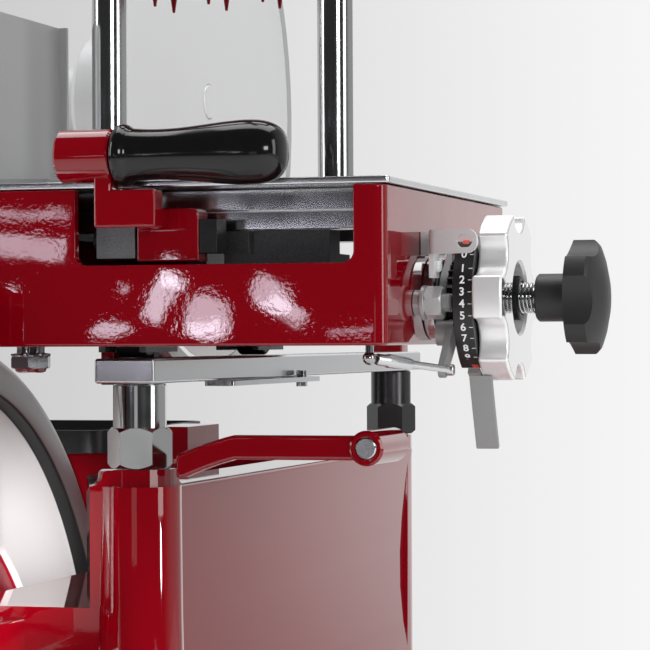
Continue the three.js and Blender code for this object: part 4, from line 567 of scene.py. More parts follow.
CHROME = bright_steel("chrome_plate", (0.60, 0.605, 0.61), 0.08, 0.16)
# A nearly black plate for the far post: painted shade, since that post stands in the machine's shade.
SHADED_POST_PLATE = bright_steel("post_plate_painted_shade", (0.10, 0.10, 0.105), 0.2, 0.3)
GREY_PLATE = bright_steel("grey_plate", (0.42, 0.42, 0.43), 0.1, 0.2)
POLISHED = bright_steel("polished_steel", (0.62, 0.63, 0.64), 0.1, 0.2)
GROUND = grained_steel("ground_steel", (1, 0.06, 1), (0.62, 0.63, 0.64), 0.18, 0.32, 0.12)
SHEET = grained_steel("stainless_sheet", (0.05, 1, 1), (0.72, 0.73, 0.74), 0.16, 0.28, 0.08)
MACHINED = grained_steel("machined_steel", (1, 1, 1), (0.66, 0.67, 0.68), 0.2, 0.34, 0.1)
SATIN_GREY = painted_metal("satin_grey", (0.30, 0.30, 0.302), 0.35, 0.42, 0.52)
LIGHT_SATIN = painted_metal("light_satin", (0.62, 0.625, 0.63), 0.1, 0.34, 0.44)
CAST_SATIN = painted_metal("cast_satin", (0.93, 0.93, 0.932), 0.5, 0.28, 0.38)
BRIGHT_SHEET = painted_metal("bright_sheet", (0.84, 0.845, 0.85), 0.5, 0.3, 0.4)
PALE_SHEET = painted_metal("pale_sheet", (0.46, 0.465, 0.47), 0.5, 0.3, 0.4)
MIRROR_FACE = turned_steel("mirror_face", at(0, 80, 20.5), (0.80, 0.80, 0.81), 0.04, 0.07, 0.02)
print("metals ready")

# %% Rough and dark finishes
def gritty(name, dark, light, grain, metal, rough, depth):
    finish = Finish(name, light, metal, rough)
    grit = finish.use(GRIT, Grain=grain, Dark=(*dark, 1), Light=(*light, 1))
    finish.tree.links.new(grit["Colour"], finish.shader["Base Color"])
    finish.raise_by(grit["Height"], depth, 0.0003)
    return finish.material


IRON = gritty("cast_iron", (0.03, 0.03, 0.032), (0.14, 0.14, 0.145), 1100.0, 0.7, 0.4, 0.6)
ROUGH_IRON = gritty("rough_iron", (0.10, 0.10, 0.105), (0.36, 0.36, 0.37), 1100.0, 0.8, 0.4, 0.6)
DARK_STEEL = gritty("blackened_steel", (0.012, 0.012, 0.013), (0.04, 0.04, 0.042), 700.0, 0.6, 0.36, 0.2)
MATT_BLACK = gritty("matt_black_moulding", (0.016, 0.016, 0.017), (0.026, 0.026, 0.027), 2600.0, 0.0, 0.46, 0.12)
GLOSS_BLACK = gritty("gloss_black_moulding", (0.004, 0.004, 0.004), (0.007, 0.007, 0.007), 240.0, 0.0, 0.12, 0.03)
DIAL_BLACK = gritty("dial_enamel", (0.010, 0.010, 0.011), (0.015, 0.015, 0.016), 800.0, 0.0, 0.34, 0.05)
DIAL_WHITE = gritty("dial_white", (0.78, 0.78, 0.78), (0.9, 0.9, 0.9), 900.0, 0.0, 0.4, 0.02)
MARK_RED = gritty("mark_red", (0.55, 0.03, 0.02), (0.68, 0.05, 0.03), 900.0, 0.0, 0.4, 0.02)
RUBBER = gritty("rubber", (0.012, 0.012, 0.012), (0.03, 0.03, 0.03), 1500.0, 0.0, 0.75, 0.4)
BRONZE = gritty("bronze", (0.42, 0.27, 0.10), (0.62, 0.42, 0.18), 500.0, 1.0, 0.3, 0.1)
STONE = gritty("grindstone", (0.36, 0.34, 0.30), (0.62, 0.60, 0.55), 1800.0, 0.0, 0.9, 0.8)
print("dark finishes ready")

# %% [markdown]
# The flywheel is one casting with four colours: an enamelled red middle, a bright ring, a narrow wall painted
# nearly black as painted shade, and a satin rim. A colour that changes with the distance from the shaft gives all of
# them.

# %% Flywheel finish
wheel_look = Finish("flywheel_finish", (0.8, 0.8, 0.81), 1.0, 0.1, centre=at(0, 78, -212))
turned_rings = wheel_look.use(RINGS, Rings=2200.0)
tree = wheel_look.tree
past_red, past_ring, past_shaded_wall = (ramp(tree, turned_rings["Radius"], *limits) for limits in (
    (0.1338, 0.1344), (0.1936, 0.1942), (0.1952, 0.1966)))
# The wall between the bright ring and the rim is coloured nearly black: painted shade on a wall that faces in towards
# the shaft.
outer = mixed(tree, past_shaded_wall, (0.045, 0.045, 0.046, 1), (0.46, 0.465, 0.47, 1), "RGBA")
bright = mixed(tree, past_ring, (0.96, 0.96, 0.96, 1), outer, "RGBA")
colour = mixed(tree, past_red, (0.30, 0.002, 0.014, 1), bright, "RGBA")
tree.links.new(colour, wheel_look.shader["Base Color"])
metal = mixed(tree, past_red, 0.0, mixed(tree, past_ring, 0.05, 0.75))
tree.links.new(metal, wheel_look.shader["Metallic"])
wheel_look.raise_by(turned_rings["Height"], 0.06, 0.0001)
WHEEL = wheel_look.vary_gloss(30.0, 0.3, 0.42)
print("finish", WHEEL.name)

# %% [markdown]
# Outlines with round corners come up again and again, and so do rods. These helpers walk round an outline
# and pull it up, sideways or backwards, or turn a rod. Much of the dial side is turned round the feed screw.

# %% Outlines pulled to a thickness, and rods
SCREW_Y, SCREW_Z = 80.0, 20.5


def between(low, high, count):
    return [low + (high - low) * i / count for i in range(count + 1)]


def polar(radius, degrees):
    a = math.radians(degrees)
    return radius * math.cos(a), radius * math.sin(a)


def arc(cx, cy, radius, start, end, steps):
    return [(cx + x, cy + y) for x, y in (polar(radius, a) for a in between(start, end, steps))]


def rounded(x0, x1, y0, y1, radius, steps=8):
    left, right, near, far = x0 + radius, x1 - radius, y0 + radius, y1 - radius
    return (arc(right, near, radius, -90, 0, steps) + arc(right, far, radius, 0, 90, steps)
            + arc(left, far, radius, 90, 180, steps) + arc(left, near, radius, 180, 270, steps))


def bend(start, pull, end, steps=10):
    return [tuple((1 - t) ** 2 * a + 2 * t * (1 - t) * b + t * t * c for a, b, c in zip(start, pull, end))
            for t in [i / steps for i in range(steps + 1)]]


def pulled_up(pairs, z, height):
    return cut_out([at(x, y, z) for x, y in pairs], Vector((0, 0, height * MM)))


def pulled_right(pairs, x, width):
    return cut_out([at(x, y, z) for y, z in pairs], Vector((width * MM, 0, 0)))


def pulled_back(pairs, y, depth):
    return cut_out([at(x, y, z) for x, z in pairs], Vector((0, depth * MM, 0)))


def rod(axis, radius, start, end, through, steps):
    return turned([(0, start), (radius, start), (radius, end), (0, end)], axis, through, steps)


def rod_x(radius, x0, x1, y, z, steps=64):
    return rod("x", radius, x0, x1, at(0, y, z), steps)


def rod_y(radius, y0, y1, x, z, steps=64):
    return rod("y", radius, y0, y1, at(x, 0, z), steps)


def rod_z(radius, z0, z1, x, y, steps=64):
    return rod("z", radius, z0, z1, at(x, y, 0), steps)


def on_screw(profile, steps=96):
    return turned(profile, "x", at(0, SCREW_Y, SCREW_Z), steps)


def screw_rod(radius, x0, x1, steps=64):
    return rod_x(radius, x0, x1, SCREW_Y, SCREW_Z, steps)


print("the feed screw's axis at", SCREW_Y, SCREW_Z)

# %% [markdown]
# The carriage box is a casting with 5 mm walls, a web across its middle and a notch in each end wall: one
# rounded block, two hollows, two notches, then the bosses. The enamel is thick, so every outside edge is
# rounded by more than a millimetre and carries a bright line.

# %% The carriage box
WALL, LONG, WIDE, TALL = 5.0, 232.0, 205.0, 68.0
GUIDE_X, GUIDE_Z = -188.0, 14.0
PIN_Y, PIN_Z = 125.0, -12.0


def notch(y, depth):
    floor, left, right = 35.0, -138.8, -13.8
    outline = ([(left, TALL + 6)] + arc(left + 5, floor + 5, 5, 180, 270, 8)
               + arc(right - 5, floor + 5, 5, 270, 360, 8) + [(right, TALL + 6)])
    return pulled_back(outline, y, depth)


box = pulled_up(rounded(-WIDE, 0, 0, LONG, 5, 10), 0, TALL)
ease(box, 1.2, 4, 50)
box = cut_away(box, [brick(-WIDE + WALL, -WALL, WALL, LONG - WALL, 34, TALL + 5),
                    brick(-WIDE + WALL, -WALL, WALL, LONG - WALL, -5, 30),
                    notch(-3, WALL + 4), notch(LONG - WALL - 1, WALL + 4)])
ease(box, 0.7, 3, 50)
guide_bosses = [combine(rod_y(14, y0, y1, GUIDE_X, GUIDE_Z),
                        [brick(-WIDE + 0.4, -10, -2, LONG + 2, 0.5, 31)], "INTERSECT")
                for y0, y1 in ((0.6, 17), (LONG - 17, LONG - 0.6))]
screw_boss = combine(screw_rod(16, -14, -1), [brick(-40, -0.5, 20, 140, 0.5, 31)], "INTERSECT")
box = combine(box, guide_bosses + [
    screw_boss, brick(-176, -168, SCREW_Y - 11, SCREW_Y + 11, SCREW_Z - 11, 31),
    brick(-170.5, -164, PIN_Y - 11, PIN_Y + 11, PIN_Z - 6.6, 31), rod_x(6, -170, -148, PIN_Y, PIN_Z)])
box = cut_away(box, [
    brick(-160, -30, SCREW_Y - 15, SCREW_Y + 15, 28, 36), rod_y(8.3, -20, LONG + 14, GUIDE_X, GUIDE_Z),
    screw_rod(7.3, -40, 10), screw_rod(5.3, -180, -160), rod_x(4.3, -12, 5, 50.5, 18.3)])
finished(box, "carriage_casting", ENAMEL, "carriage_box")

# %% [markdown]
# Under the carriage, straight below the guide rod, hangs the bolt that clamps the rod's bushing, with a
# washer, a hexagon and a short red cap.

# %% The guide's clamp bolt
def hexagon(flats, turn):
    return [polar(flats / math.sqrt(3), 60 * i + turn) for i in range(6)]


def hex_nut(axis, through, flats, start, end, edge=0.9, turn=0.0):
    corner = flats / math.sqrt(3)
    cap = turned([(0, start), (corner - edge, start), (corner, start + edge), (corner, end - edge),
                  (corner - edge, end), (0, end)], axis, through, 96)
    way = AXES[axis]
    first = way.orthogonal().normalized()
    second = way.cross(first)
    points = [through + way * ((start - 1) * MM) + (first * a + second * b) * MM
              for a, b in hexagon(flats, turn)]
    return combine(cut_out(points, way * ((end - start + 2) * MM)), [cap], "INTERSECT")


CLAMP_Y = 69.0
bolt = hex_nut("z", at(GUIDE_X, CLAMP_Y, 0), 17, -10.2, -4.5)
washer = turned([(0, -4.7), (8.8, -4.7), (9.2, -4.2), (9.2, -3.4), (6.5, -3.0), (6.5, 2), (0, 2)], "z",
                at(GUIDE_X, CLAMP_Y, 0), 64)
bolt = combine(bolt, [washer, rod_z(4, 0, 5.4, GUIDE_X, CLAMP_Y)])
ease(bolt, 0.25, 2, 25)
finished(bolt, "guide_clamp_bolt", GREY_PLATE, body="carriage")
cap = turned([(0, -12.2), (5.4, -12.2), (6.9, -11.6), (7.3, -10.6), (7.3, -10.2), (0, -10.2)], "z",
             at(GUIDE_X, CLAMP_Y, 0), 64)
finished(cap, "guide_clamp_cap", ENAMEL, body="carriage")

# %% [markdown]
# The release lever is a red casting too: a round hub that takes the grip, an arm over the table's edge and a
# foot on the bolt, joined into one.

# %% The release lever
GRIP_Y, GRIP_Z = -10.0, 81.6
LEVER_Y, LEVER_Z = 13.0, 46.0
hub = turned([(0, -141), (10.2, -141), (11.4, -139.8), (11.4, -117.2), (10.6, -116.2), (0, -116.2)], "x",
             at(0, GRIP_Y, GRIP_Z), 96)
arm = pulled_back([(-124.3, 50.5), (-96.6, 50.5), (-96.6, 66.8), (-116.4, 66.8), (-116.4, 88), (-124.3, 88)],
                  GRIP_Y - 5.5, 11)
ease(arm, 1.3)
foot = pulled_back([(-112.4, 36.5), (-84.3, 36.5), (-84.3, 56)] + bend((-84.3, 56), (-84.3, 59.4), (-87.7, 59.4))[1:]
                   + [(-112.4, 59.4)], 5.6, 13.4)
ease(foot, 0.9, 3, 40)
lever = combine(arm, [foot, brick(-112.2, -97.8, GRIP_Y + 3, 8, 51.5, 58.4), hub])
lever = cut_away(lever, [rod_x(4.3, -160, -50, LEVER_Y, LEVER_Z), rod_x(5.3, -133, -100, GRIP_Y, GRIP_Z)])
finished(lever, "release_lever_casting", ENAMEL, "release_lever")

# %% [markdown]
# The grip is turned from black plastic: a bead next to the hub, a slim neck and a pear shaped end. A
# subdivision step rounds what lies between the few points of its profile.

# %% The lever's grip
GRIP_START = -115.9
grip_line = [(0, 0), (9.6, 0), (11.8, 0.6), (13.2, 2.2), (13.55, 4.0), (13.1, 5.9), (11.9, 7.3), (11.35, 8.2),
             (11.3, 9.4), (10.95, 13), (10.8, 19), (10.95, 26), (11.6, 34), (12.5, 42), (13.3, 49), (13.85, 56),
             (13.9, 62), (13.4, 67), (12.1, 71), (10.0, 74), (7.0, 75.6), (3.5, 76.2), (0, 76.3)]
grip = turned([(r, GRIP_START + s) for r, s in grip_line], "x", at(0, GRIP_Y, GRIP_Z), 48)
altered(grip, "finer", "SUBSURF", levels=1, render_levels=1)
grip = combine(grip, [rod_x(5, -132, GRIP_START + 3, GRIP_Y, GRIP_Z, 48)])
finished(grip, "lever_grip_turned", GLOSS_BLACK, "lever_grip", angle=40, flats=False)

# %% [markdown]
# The base is a hollow casting that is slim under the rail and spreads towards its feet. Rings with round
# corners are drawn level by level and bridged into one smooth skin, and the same shape drawn 7 mm smaller is
# taken away. Behind the near post the deck is cut back, so that the flywheel's face shows from the front.

# %% Rings of the base
BASE_TOP, BASE_BOTTOM, BASE_WALL = -62.0, -431.0, 7.0
BASE_LEFT, BASE_RIGHT, BASE_NEAR, BASE_FAR = -213.0, -110.0, 26.0, 492.0
BASE_CORNER = 22.0
POST_X, NEAR_POST_Y, FAR_POST_Y, BOSS_RADIUS, BOSS_TOP = -124.0, 40.0, 476.0, 18.5, -54.8


def base_ring(z, inset):
    drop = min(max((BASE_TOP - z) / (BASE_TOP - BASE_BOTTOM), 0), 1)
    spread = drop ** 3
    waist = 4 * math.sin(2 * math.pi * min(drop, 0.5))
    return rounded(BASE_LEFT + inset, BASE_RIGHT + 91 * spread - waist - inset,
                   BASE_NEAR - 34 * spread + waist + inset, BASE_FAR + 34 * spread - waist - inset,
                   BASE_CORNER - inset)


def bridged(levels, inset):
    rings = []
    for z in levels:
        rings.append(closed_line([at(x, y, z) for x, y in base_ring(z, inset)]))
        close_up()
    skin = joined(rings)
    open_up(skin)
    bpy.ops.mesh.bridge_edge_loops()
    take_all()
    bpy.ops.mesh.fill_holes(sides=0)
    close_up()
    mend(skin)
    return skin


outer = bridged(between(BASE_BOTTOM, BASE_TOP, 18), 0)
print("base skin", len(outer.data.polygons), "faces")

# %% The base, hollowed and cut back
RECESS_FLOOR = -116.0
SIGHT_NEAR, SIGHT_FAR = (-139.6, 26.0), (-231.6, 253.0)


def beside_sight(wall=0.0):
    left, near, turn, far, clear = -260.0, 10.0, 116.0, 296.0, 3.0
    shift = wall - clear

    def sight(y):
        share = (y - SIGHT_NEAR[1]) / (SIGHT_FAR[1] - SIGHT_NEAR[1])
        return SIGHT_NEAR[0] + (SIGHT_FAR[0] - SIGHT_NEAR[0]) * share + shift

    return pulled_up([(left, near), (sight(near), near), (sight(turn), turn), (sight(turn), far + shift),
                      (left, far + shift)], RECESS_FLOOR - wall, 90)


def under_deck(z, height):
    return pulled_up(rounded(BASE_LEFT + 1, BASE_RIGHT - 0.6, BASE_NEAR + 0.6, BASE_FAR - 0.6, 21), z, height)


ease(outer, 2.2, 5, 60)
outer = cut_away(outer, [beside_sight()])
fillet = [(0, BASE_TOP - 6), (BOSS_RADIUS + 6, BASE_TOP - 6), (BOSS_RADIUS + 6, BASE_TOP - 0.2)] + [
    (BOSS_RADIUS + 5 - a, BASE_TOP + 5 - b) for a, b in arc(0, 0, 5, 80, 10, 6)] + [
    (BOSS_RADIUS, BOSS_TOP - 1.6), (BOSS_RADIUS - 0.5, BOSS_TOP - 0.5), (BOSS_RADIUS - 1.6, BOSS_TOP), (0, BOSS_TOP)]
for y in (NEAR_POST_Y, FAR_POST_Y):
    foot_of_boss = turned([(0, -300), (BOSS_RADIUS + 5, -300), (BOSS_RADIUS + 2, -200), (BOSS_RADIUS + 0.4, -120),
                           (BOSS_RADIUS, BASE_TOP - 8), (BOSS_RADIUS, BASE_TOP), (0, BASE_TOP)],
                          "z", at(POST_X, y, 0), 96)
    collar = combine(turned(fillet, "z", at(POST_X, y, 0), 96), [under_deck(-90, 60)], "INTERSECT")
    collar = cut_away(collar, [beside_sight()])
    if y == FAR_POST_Y:
        foot_of_boss = combine(foot_of_boss, [under_deck(-310, 320)], "INTERSECT")
    outer = combine(outer, [foot_of_boss, collar])
inner = bridged([BASE_BOTTOM - 1] + between(BASE_BOTTOM, BASE_TOP - BASE_WALL, 8)[1:], BASE_WALL)
inner = cut_away(inner, [beside_sight(BASE_WALL)])
outer = cut_away(outer, [inner])
print("base hollowed", len(outer.data.polygons), "faces")

# %% [markdown]
# The rest of the casting carries things: two brackets for the guide rod, the bearing of the flywheel, the
# lugs of the rocker and the pads of the feet. Each bore goes through after all the metal is in place.

# %% Brackets, lugs and bores of the base
WHEEL_Y, WHEEL_Z = 78.0, -212.0
ROCKER_Y, ROCKER_Z = 255.0, -404.0


def guide_bracket(y0, y1, x, root, foot):
    upright = brick(x - 9, x + 9, y0, y1, root, GUIDE_Z + 10)
    for block in (upright, foot):
        ease(block, 1.2)
    arm_across = brick(min(GUIDE_X, x), max(GUIDE_X, x), y0, y1, GUIDE_Z - 10, GUIDE_Z + 10)
    return [upright, arm_across, rod_y(13, y0, y1, GUIDE_X, GUIDE_Z), foot]


near_foot = brick(GUIDE_X - 5, GUIDE_X + 13, -30, 48, -138, -121)
base = combine(outer, guide_bracket(-30, -14, GUIDE_X + 4, -136, near_foot))
far_foot = brick(-141, -123, 470, 514, -76, -56)
base = combine(base, guide_bracket(498, 514, -132, -76, far_foot))
lugs = [brick(x - 5, x + 5, ROCKER_Y - 16, ROCKER_Y + 16, BASE_BOTTOM, ROCKER_Z + 16) for x in (-169, -141)]
pads = [rod_z(23, BASE_BOTTOM, BASE_BOTTOM + 10, x, y, 48) for x in (-187, -49) for y in (22, 496)]
base = combine(base, lugs + pads + [
    brick(BASE_LEFT + 6, -60, ROCKER_Y - 16, ROCKER_Y + 16, BASE_BOTTOM, BASE_BOTTOM + 9),
    rod_x(30, -226, -205, WHEEL_Y, WHEEL_Z)])
base = cut_away(base, [
    brick(-166, -138, 84, 426, BASE_TOP - 14, 0), rod_x(12.3, -236, -195, WHEEL_Y, WHEEL_Z),
    rod_x(9.3, -236, -195, 390, -150), rod_y(8.3, -60, 540, GUIDE_X, GUIDE_Z),
    rod_x(6.3, -200, -60, ROCKER_Y, ROCKER_Z)])
finished(base, "base_casting_whole", ENAMEL_SMOOTH, "base_casting", angle=36)

# %% [markdown]
# The posts are bright steel: a round part below the rail and a hexagon that screws down on the boss. The
# far post stands in the machine's shade, and its steel is painted nearly black as painted shade.

# %% Posts of the rail
def rail_post(y, node, finish):
    top, shoulder, foot = -16.7, -36.2, -54.2
    hexagonal = hex_nut("z", at(POST_X, y, 0), 25.2, foot, shoulder, 2.0, 27.0)
    round_part = [(0, shoulder - 4), (11.9, shoulder - 4), (11.9, top - 0.8), (11.1, top), (0, top)]
    post = combine(turned(round_part, "z", at(POST_X, y, 0)), [hexagonal])
    ease(post, 0.4, 3, 28)
    finished(post, node + "_turned", finish, node, angle=30)


rail_post(NEAR_POST_Y, "near_post", CHROME)
# The far post's nearly black plate is painted shade.
rail_post(FAR_POST_Y, "far_post", SHADED_POST_PLATE)

# %% [markdown]
# A red arm leaves the near boss, rises to the right and carries a round hub with a slotted stop screw.

# %% The stop arm
ARM_Z, ARM_HUB_X = -44.6, -17.5
arm_root = POST_X + BOSS_RADIUS + 0.3
stop_line = ([(arm_root, -58.5), (arm_root + 4, -58.0)]
             + bend((arm_root + 4, -58.0), (arm_root + 17, -52.4), (arm_root + 27, ARM_Z - 5.4), 8)[1:]
             + [(ARM_HUB_X, ARM_Z - 5.4), (ARM_HUB_X, ARM_Z + 5.4)]
             + bend((arm_root + 27, ARM_Z + 5.4), (arm_root + 18, ARM_Z + 3.6), (arm_root, ARM_Z - 3.5), 8))
stop_arm = pulled_back(stop_line, 34, 10)
ease(stop_arm, 1.6, 4, 40)
stop_hub = turned([(0, 32), (6.6, 32), (7.7, 33.1), (7.7, 76.9), (6.6, 78), (0, 78)], "y", at(ARM_HUB_X, 0, ARM_Z), 72)
stop_arm = combine(stop_arm, [stop_hub])
stop_arm = cut_away(stop_arm, [rod_y(5.0, 20, 100, ARM_HUB_X, ARM_Z)])
ease(stop_arm, 0.5, 3, 60)
finished(stop_arm, "stop_arm_casting", ENAMEL, "feed_stop_arm")
screw = turned([(0, 31.6), (4.1, 31.6), (4.7, 32.2), (4.7, 79.4), (4.1, 80), (0, 80)], "y", at(ARM_HUB_X, 0, ARM_Z), 64)
slot_cut = pulled_back([(ARM_HUB_X - 6, ARM_Z - 1.6), (ARM_HUB_X + 6, ARM_Z + 0.4),
                        (ARM_HUB_X + 6, ARM_Z + 1.6), (ARM_HUB_X - 6, ARM_Z - 0.4)], 30, 3)
screw = cut_away(screw, [slot_cut])
finished(screw, "stop_screw_slotted", MACHINED, "feed_stop_screw")

# %% [markdown]
# The flywheel is turned in one setting: a rounded rim, a straight wall behind it, a bright flat ring, and
# an enamelled middle that lies a little deeper.

# %% Flywheel
RIM_FACE, RING_FACE = -230.0, -238.2
rim = [(12.3, -233.4), (30, -233.4), (31, -234.4), (31, -242.4), (133, -242.4), (134.4, -241),
       (134.4, RING_FACE + 0.6), (135, RING_FACE), (192, RING_FACE), (194.4, RING_FACE + 1), (195, RIM_FACE - 1.6)]
rim += [(196.4 - a, RIM_FACE - 1.6 + b) for a, b in arc(0, 0, 1.4, 20, 80, 3)]
rim += [(203, RIM_FACE), (208, RIM_FACE - 0.4)]
rim += [(208 + a, RIM_FACE - 6.8 + b * 6.4 / 7) for a, b in arc(0, 0, 7, 80, 0, 8)]
rim += [(215, -249), (214, -253), (211, -255.4), (205, -256), (202.5, -255), (202.5, -245.4), (30, -245.4),
        (30, -255.4), (12.3, -255.4), (12.3, -233.4)]
wheel = turned(rim, "x", at(0, WHEEL_Y, WHEEL_Z), 192)
finished(wheel, "flywheel_turned", WHEEL, "flywheel", angle=26, flats=False)

# %% [markdown]
# On the dial side the feed screw carries a flange, the black number drum, a wheel with six lobes, a spring
# and a star knob. The numbered band faces the front only, with a thin disc behind it.

# %% Number drum
DRUM_RADIUS, DRUM_START, DRUM_END = 36.0, 18.2, 27.0
BAND_TOP, BAND_BOTTOM = 137.0, 239.0


def on_dial(radius, angle):
    y, z = polar(radius, angle)
    return SCREW_Y + y, SCREW_Z + z


def band(inside, outside, start=BAND_TOP, end=BAND_BOTTOM, steps=48):
    angles = between(start, end, steps)
    return [on_dial(outside, a) for a in angles] + [on_dial(inside, a) for a in reversed(angles)]


drum = pulled_right(band(DRUM_RADIUS - 2.4, DRUM_RADIUS), DRUM_START, DRUM_END - DRUM_START)
plate_of_drum = pulled_right(band(9, DRUM_RADIUS - 0.3), DRUM_END - 2.4, 2.2)
disc = on_screw([(7.3, DRUM_START + 3), (12, DRUM_START + 3), (12, DRUM_END - 2.4), (28.6, DRUM_END - 2.4),
               (28.6, DRUM_END - 0.2), (7.3, DRUM_END - 0.2), (7.3, DRUM_START + 3)])
ease(drum, 0.35)
drum = combine(drum, [plate_of_drum, disc])
finished(drum, "number_band", DIAL_BLACK, "number_drum")

# %% [markdown]
# The numbers are typed, turned into mesh, and set on the band one by one, 8.3 degrees apart, with the 0 a
# little higher. Every number has a short line beside it, and two red marks bound the scale.

# %% Numbers on the band
NUMBER_STEP, FIRST_ANGLE, ZERO_LIFT = 8.3, 20.3, 2.4
NUMBER_X, LINE_X, NUMBER_HEIGHT, INK, LIFT = 22.5, 26.0, 4.9, 0.1, 0.03


def laid_on_band(piece, x, elevation):
    e = math.radians(elevation)
    out = Vector((0, -math.cos(e), math.sin(e)))
    up = Vector((0, math.sin(e), math.cos(e)))
    place = at(x, SCREW_Y, SCREW_Z) + out * ((DRUM_RADIUS + LIFT) * MM)
    turn = Matrix((AXES["x"], up, out)).transposed().to_4x4()
    piece.matrix_world = Matrix.Translation(place) @ turn
    settle(piece)
    return piece


def typed(text, x, elevation):
    let_go()
    bpy.ops.object.text_add(location=(0, 0, 0))
    letter = bpy.context.object.data
    letter.body = text
    letter.align_x = letter.align_y = "CENTER"
    letter.size = NUMBER_HEIGHT * MM
    letter.extrude = INK / 2 * MM
    letter.offset = INK * MM
    letter.resolution_u = 6
    bpy.ops.object.convert(target="MESH")
    return laid_on_band(bpy.context.object, x, elevation)


def ticked(x, elevation, width, height):
    let_go()
    bpy.ops.mesh.primitive_cube_add(size=1)
    mark = bpy.context.object
    mark.scale = (width * MM, height * MM, INK * MM)
    settle(mark)
    return laid_on_band(mark, x, elevation)


def gathered(pieces, name, finish):
    whole = joined(pieces)
    mend(whole)
    return finished(whole, name, finish, body="selector", angle=0)


elevations = [FIRST_ANGLE - NUMBER_STEP * (n - 1) for n in range(10)]
elevations[0] += ZERO_LIFT
numbers = gathered([typed(str(n), NUMBER_X, e) for n, e in enumerate(elevations)], "dial_numbers", DIAL_WHITE)
ticks = gathered([ticked(LINE_X, e, 1.7, 0.28) for e in elevations], "dial_lines", DIAL_WHITE)
marks = gathered([ticked(x, e, 2.8, 2.2) for x, e in ((22.4, 42.0), (24.8, -56.0))], "dial_end_marks", MARK_RED)

# %% The curved lever of the drum
LEVER_ANGLE, LEVER_THICK = 243.0, 2.4
LEVER_X0, LEVER_X1 = 21.3, 31.4
SADDLE_RADIUS = DRUM_RADIUS + 0.3
centre_line = bend(polar(SADDLE_RADIUS + LEVER_THICK / 2, LEVER_ANGLE), (-11.5, -48.0), (-3.2, -66.3), 16)
outer_side, inner_side = [], []
half = LEVER_THICK / 2
for i, (py, pz) in enumerate(centre_line):
    before, after = centre_line[max(i - 1, 0)], centre_line[min(i + 1, len(centre_line) - 1)]
    dy, dz = after[0] - before[0], after[1] - before[1]
    size = math.hypot(dy, dz)
    for side, way in ((outer_side, half), (inner_side, -half)):
        side.append((SCREW_Y + py + dz / size * way, SCREW_Z + pz - dy / size * way))
blade = pulled_right(outer_side + inner_side[::-1], LEVER_X0, LEVER_X1 - LEVER_X0)
saddle = pulled_right(band(SADDLE_RADIUS, SADDLE_RADIUS + LEVER_THICK, LEVER_ANGLE - 5, 266, 16), LEVER_X0, 5.3)
ease(blade, 0.4)
blade = combine(blade, [saddle])
blade = cut_away(blade, [screw_rod(38.7, 26.9, 60, 128)])
finished(blade, "drum_lever_bent", SATIN_GREY, "thickness_lever")

# %% [markdown]
# Both knobs have lobes: parts of a full circle joined by hollow arcs. One function draws the outline.

# %% Outlines with lobes
def lobed(radius, lobes, half_angle, valley, start, steps=10):
    points = []
    step = 360 / lobes
    sag, chord = polar(radius, step / 2 - half_angle)
    sag -= valley
    hollow = (chord * chord + sag * sag) / (2 * sag)
    for middle in [start + i * step for i in range(lobes)]:
        points += [polar(radius, a) for a in between(middle - half_angle, middle + half_angle, steps)]
        hub_y, hub_z = polar(valley + hollow, middle + step / 2)
        ends = polar(radius, middle + half_angle), polar(radius, middle + step - half_angle)
        first, last = (math.atan2(z - hub_z, y - hub_y) for y, z in ends)
        while last > first:
            last -= 2 * math.pi
        points += [(hub_y + hollow * math.cos(a), hub_z + hollow * math.sin(a))
                   for a in between(first, last, 2 * steps)[1:-1]]
    return [(SCREW_Y + y, SCREW_Z + z) for y, z in points]


# %% Hand wheel
WHEEL_X0, WHEEL_X1, RECESS_X = 27.2, 40.5, 33.0
hand_wheel = pulled_right(lobed(38, 6, 14.5, 29.3, 180), WHEEL_X0, WHEEL_X1 - WHEEL_X0)
ease(hand_wheel, 1.5, 5, 50)
hand_wheel = cut_away(hand_wheel, [
    on_screw([(0, RECESS_X), (15.2, RECESS_X), (15.8, RECESS_X + 0.6), (15.8, WHEEL_X1 - 1.2), (17.2, WHEEL_X1 + 0.4),
            (17.2, 50), (0, 50)]),
    screw_rod(7.3, 10, 60)])
finished(hand_wheel, "hand_wheel_lobed", CAST_SATIN, "hand_wheel", angle=34)
hand_wheel.data.materials.append(MIRROR_FACE)
for side in hand_wheel.data.polygons:
    if side.normal.x > 0.98:
        side.material_index = 1
bush = on_screw([(7.6, RECESS_X + 0.1), (9.2, RECESS_X + 0.1), (9.8, RECESS_X + 0.7), (9.8, 40.9), (9.2, 41.5),
               (7.6, 41.5), (7.6, RECESS_X + 0.1)])
finished(bush, "hand_wheel_bush", DARK_STEEL, body=nodes["hand_wheel"]["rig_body"])

# %% Star knob
STAR_START, STAR_HUB, STAR_RIM_FROM, STAR_RIM_TO = 48.7, 10.6, 64.3, 73.7
dome = on_screw([(0, 60), (STAR_HUB, 60), (STAR_HUB, 61.7), (17, 62.7), (25.2, STAR_RIM_FROM),
                 (25.7, STAR_RIM_FROM + 0.8), (25.7, STAR_RIM_TO - 0.6), (24.9, STAR_RIM_TO + 0.6), (23.4, 75.7),
                 (19.0, 77.3), (10.7, 79.4), (5, 80.1), (0, 80.3)], 128)
star = pulled_right(lobed(25.4, 5, 11.5, 20.5, 3.5), 60, 24)
star = combine(star, [dome], "INTERSECT")
ease(star, 0.9, 4, 24)
star = combine(star, [on_screw([(0, STAR_START), (9.8, STAR_START), (STAR_HUB, STAR_START + 0.8), (STAR_HUB, 62.4),
                                (0, 62.4)])])
star = cut_away(star, [screw_rod(5.3, 40, 68.7)])
finished(star, "star_knob_moulded", MATT_BLACK, "star_knob", angle=40)

# %% [markdown]
# The spring is one wire. A small ring stands beside the screw's axis, and the Screw modifier winds it six
# times round while it moves along.

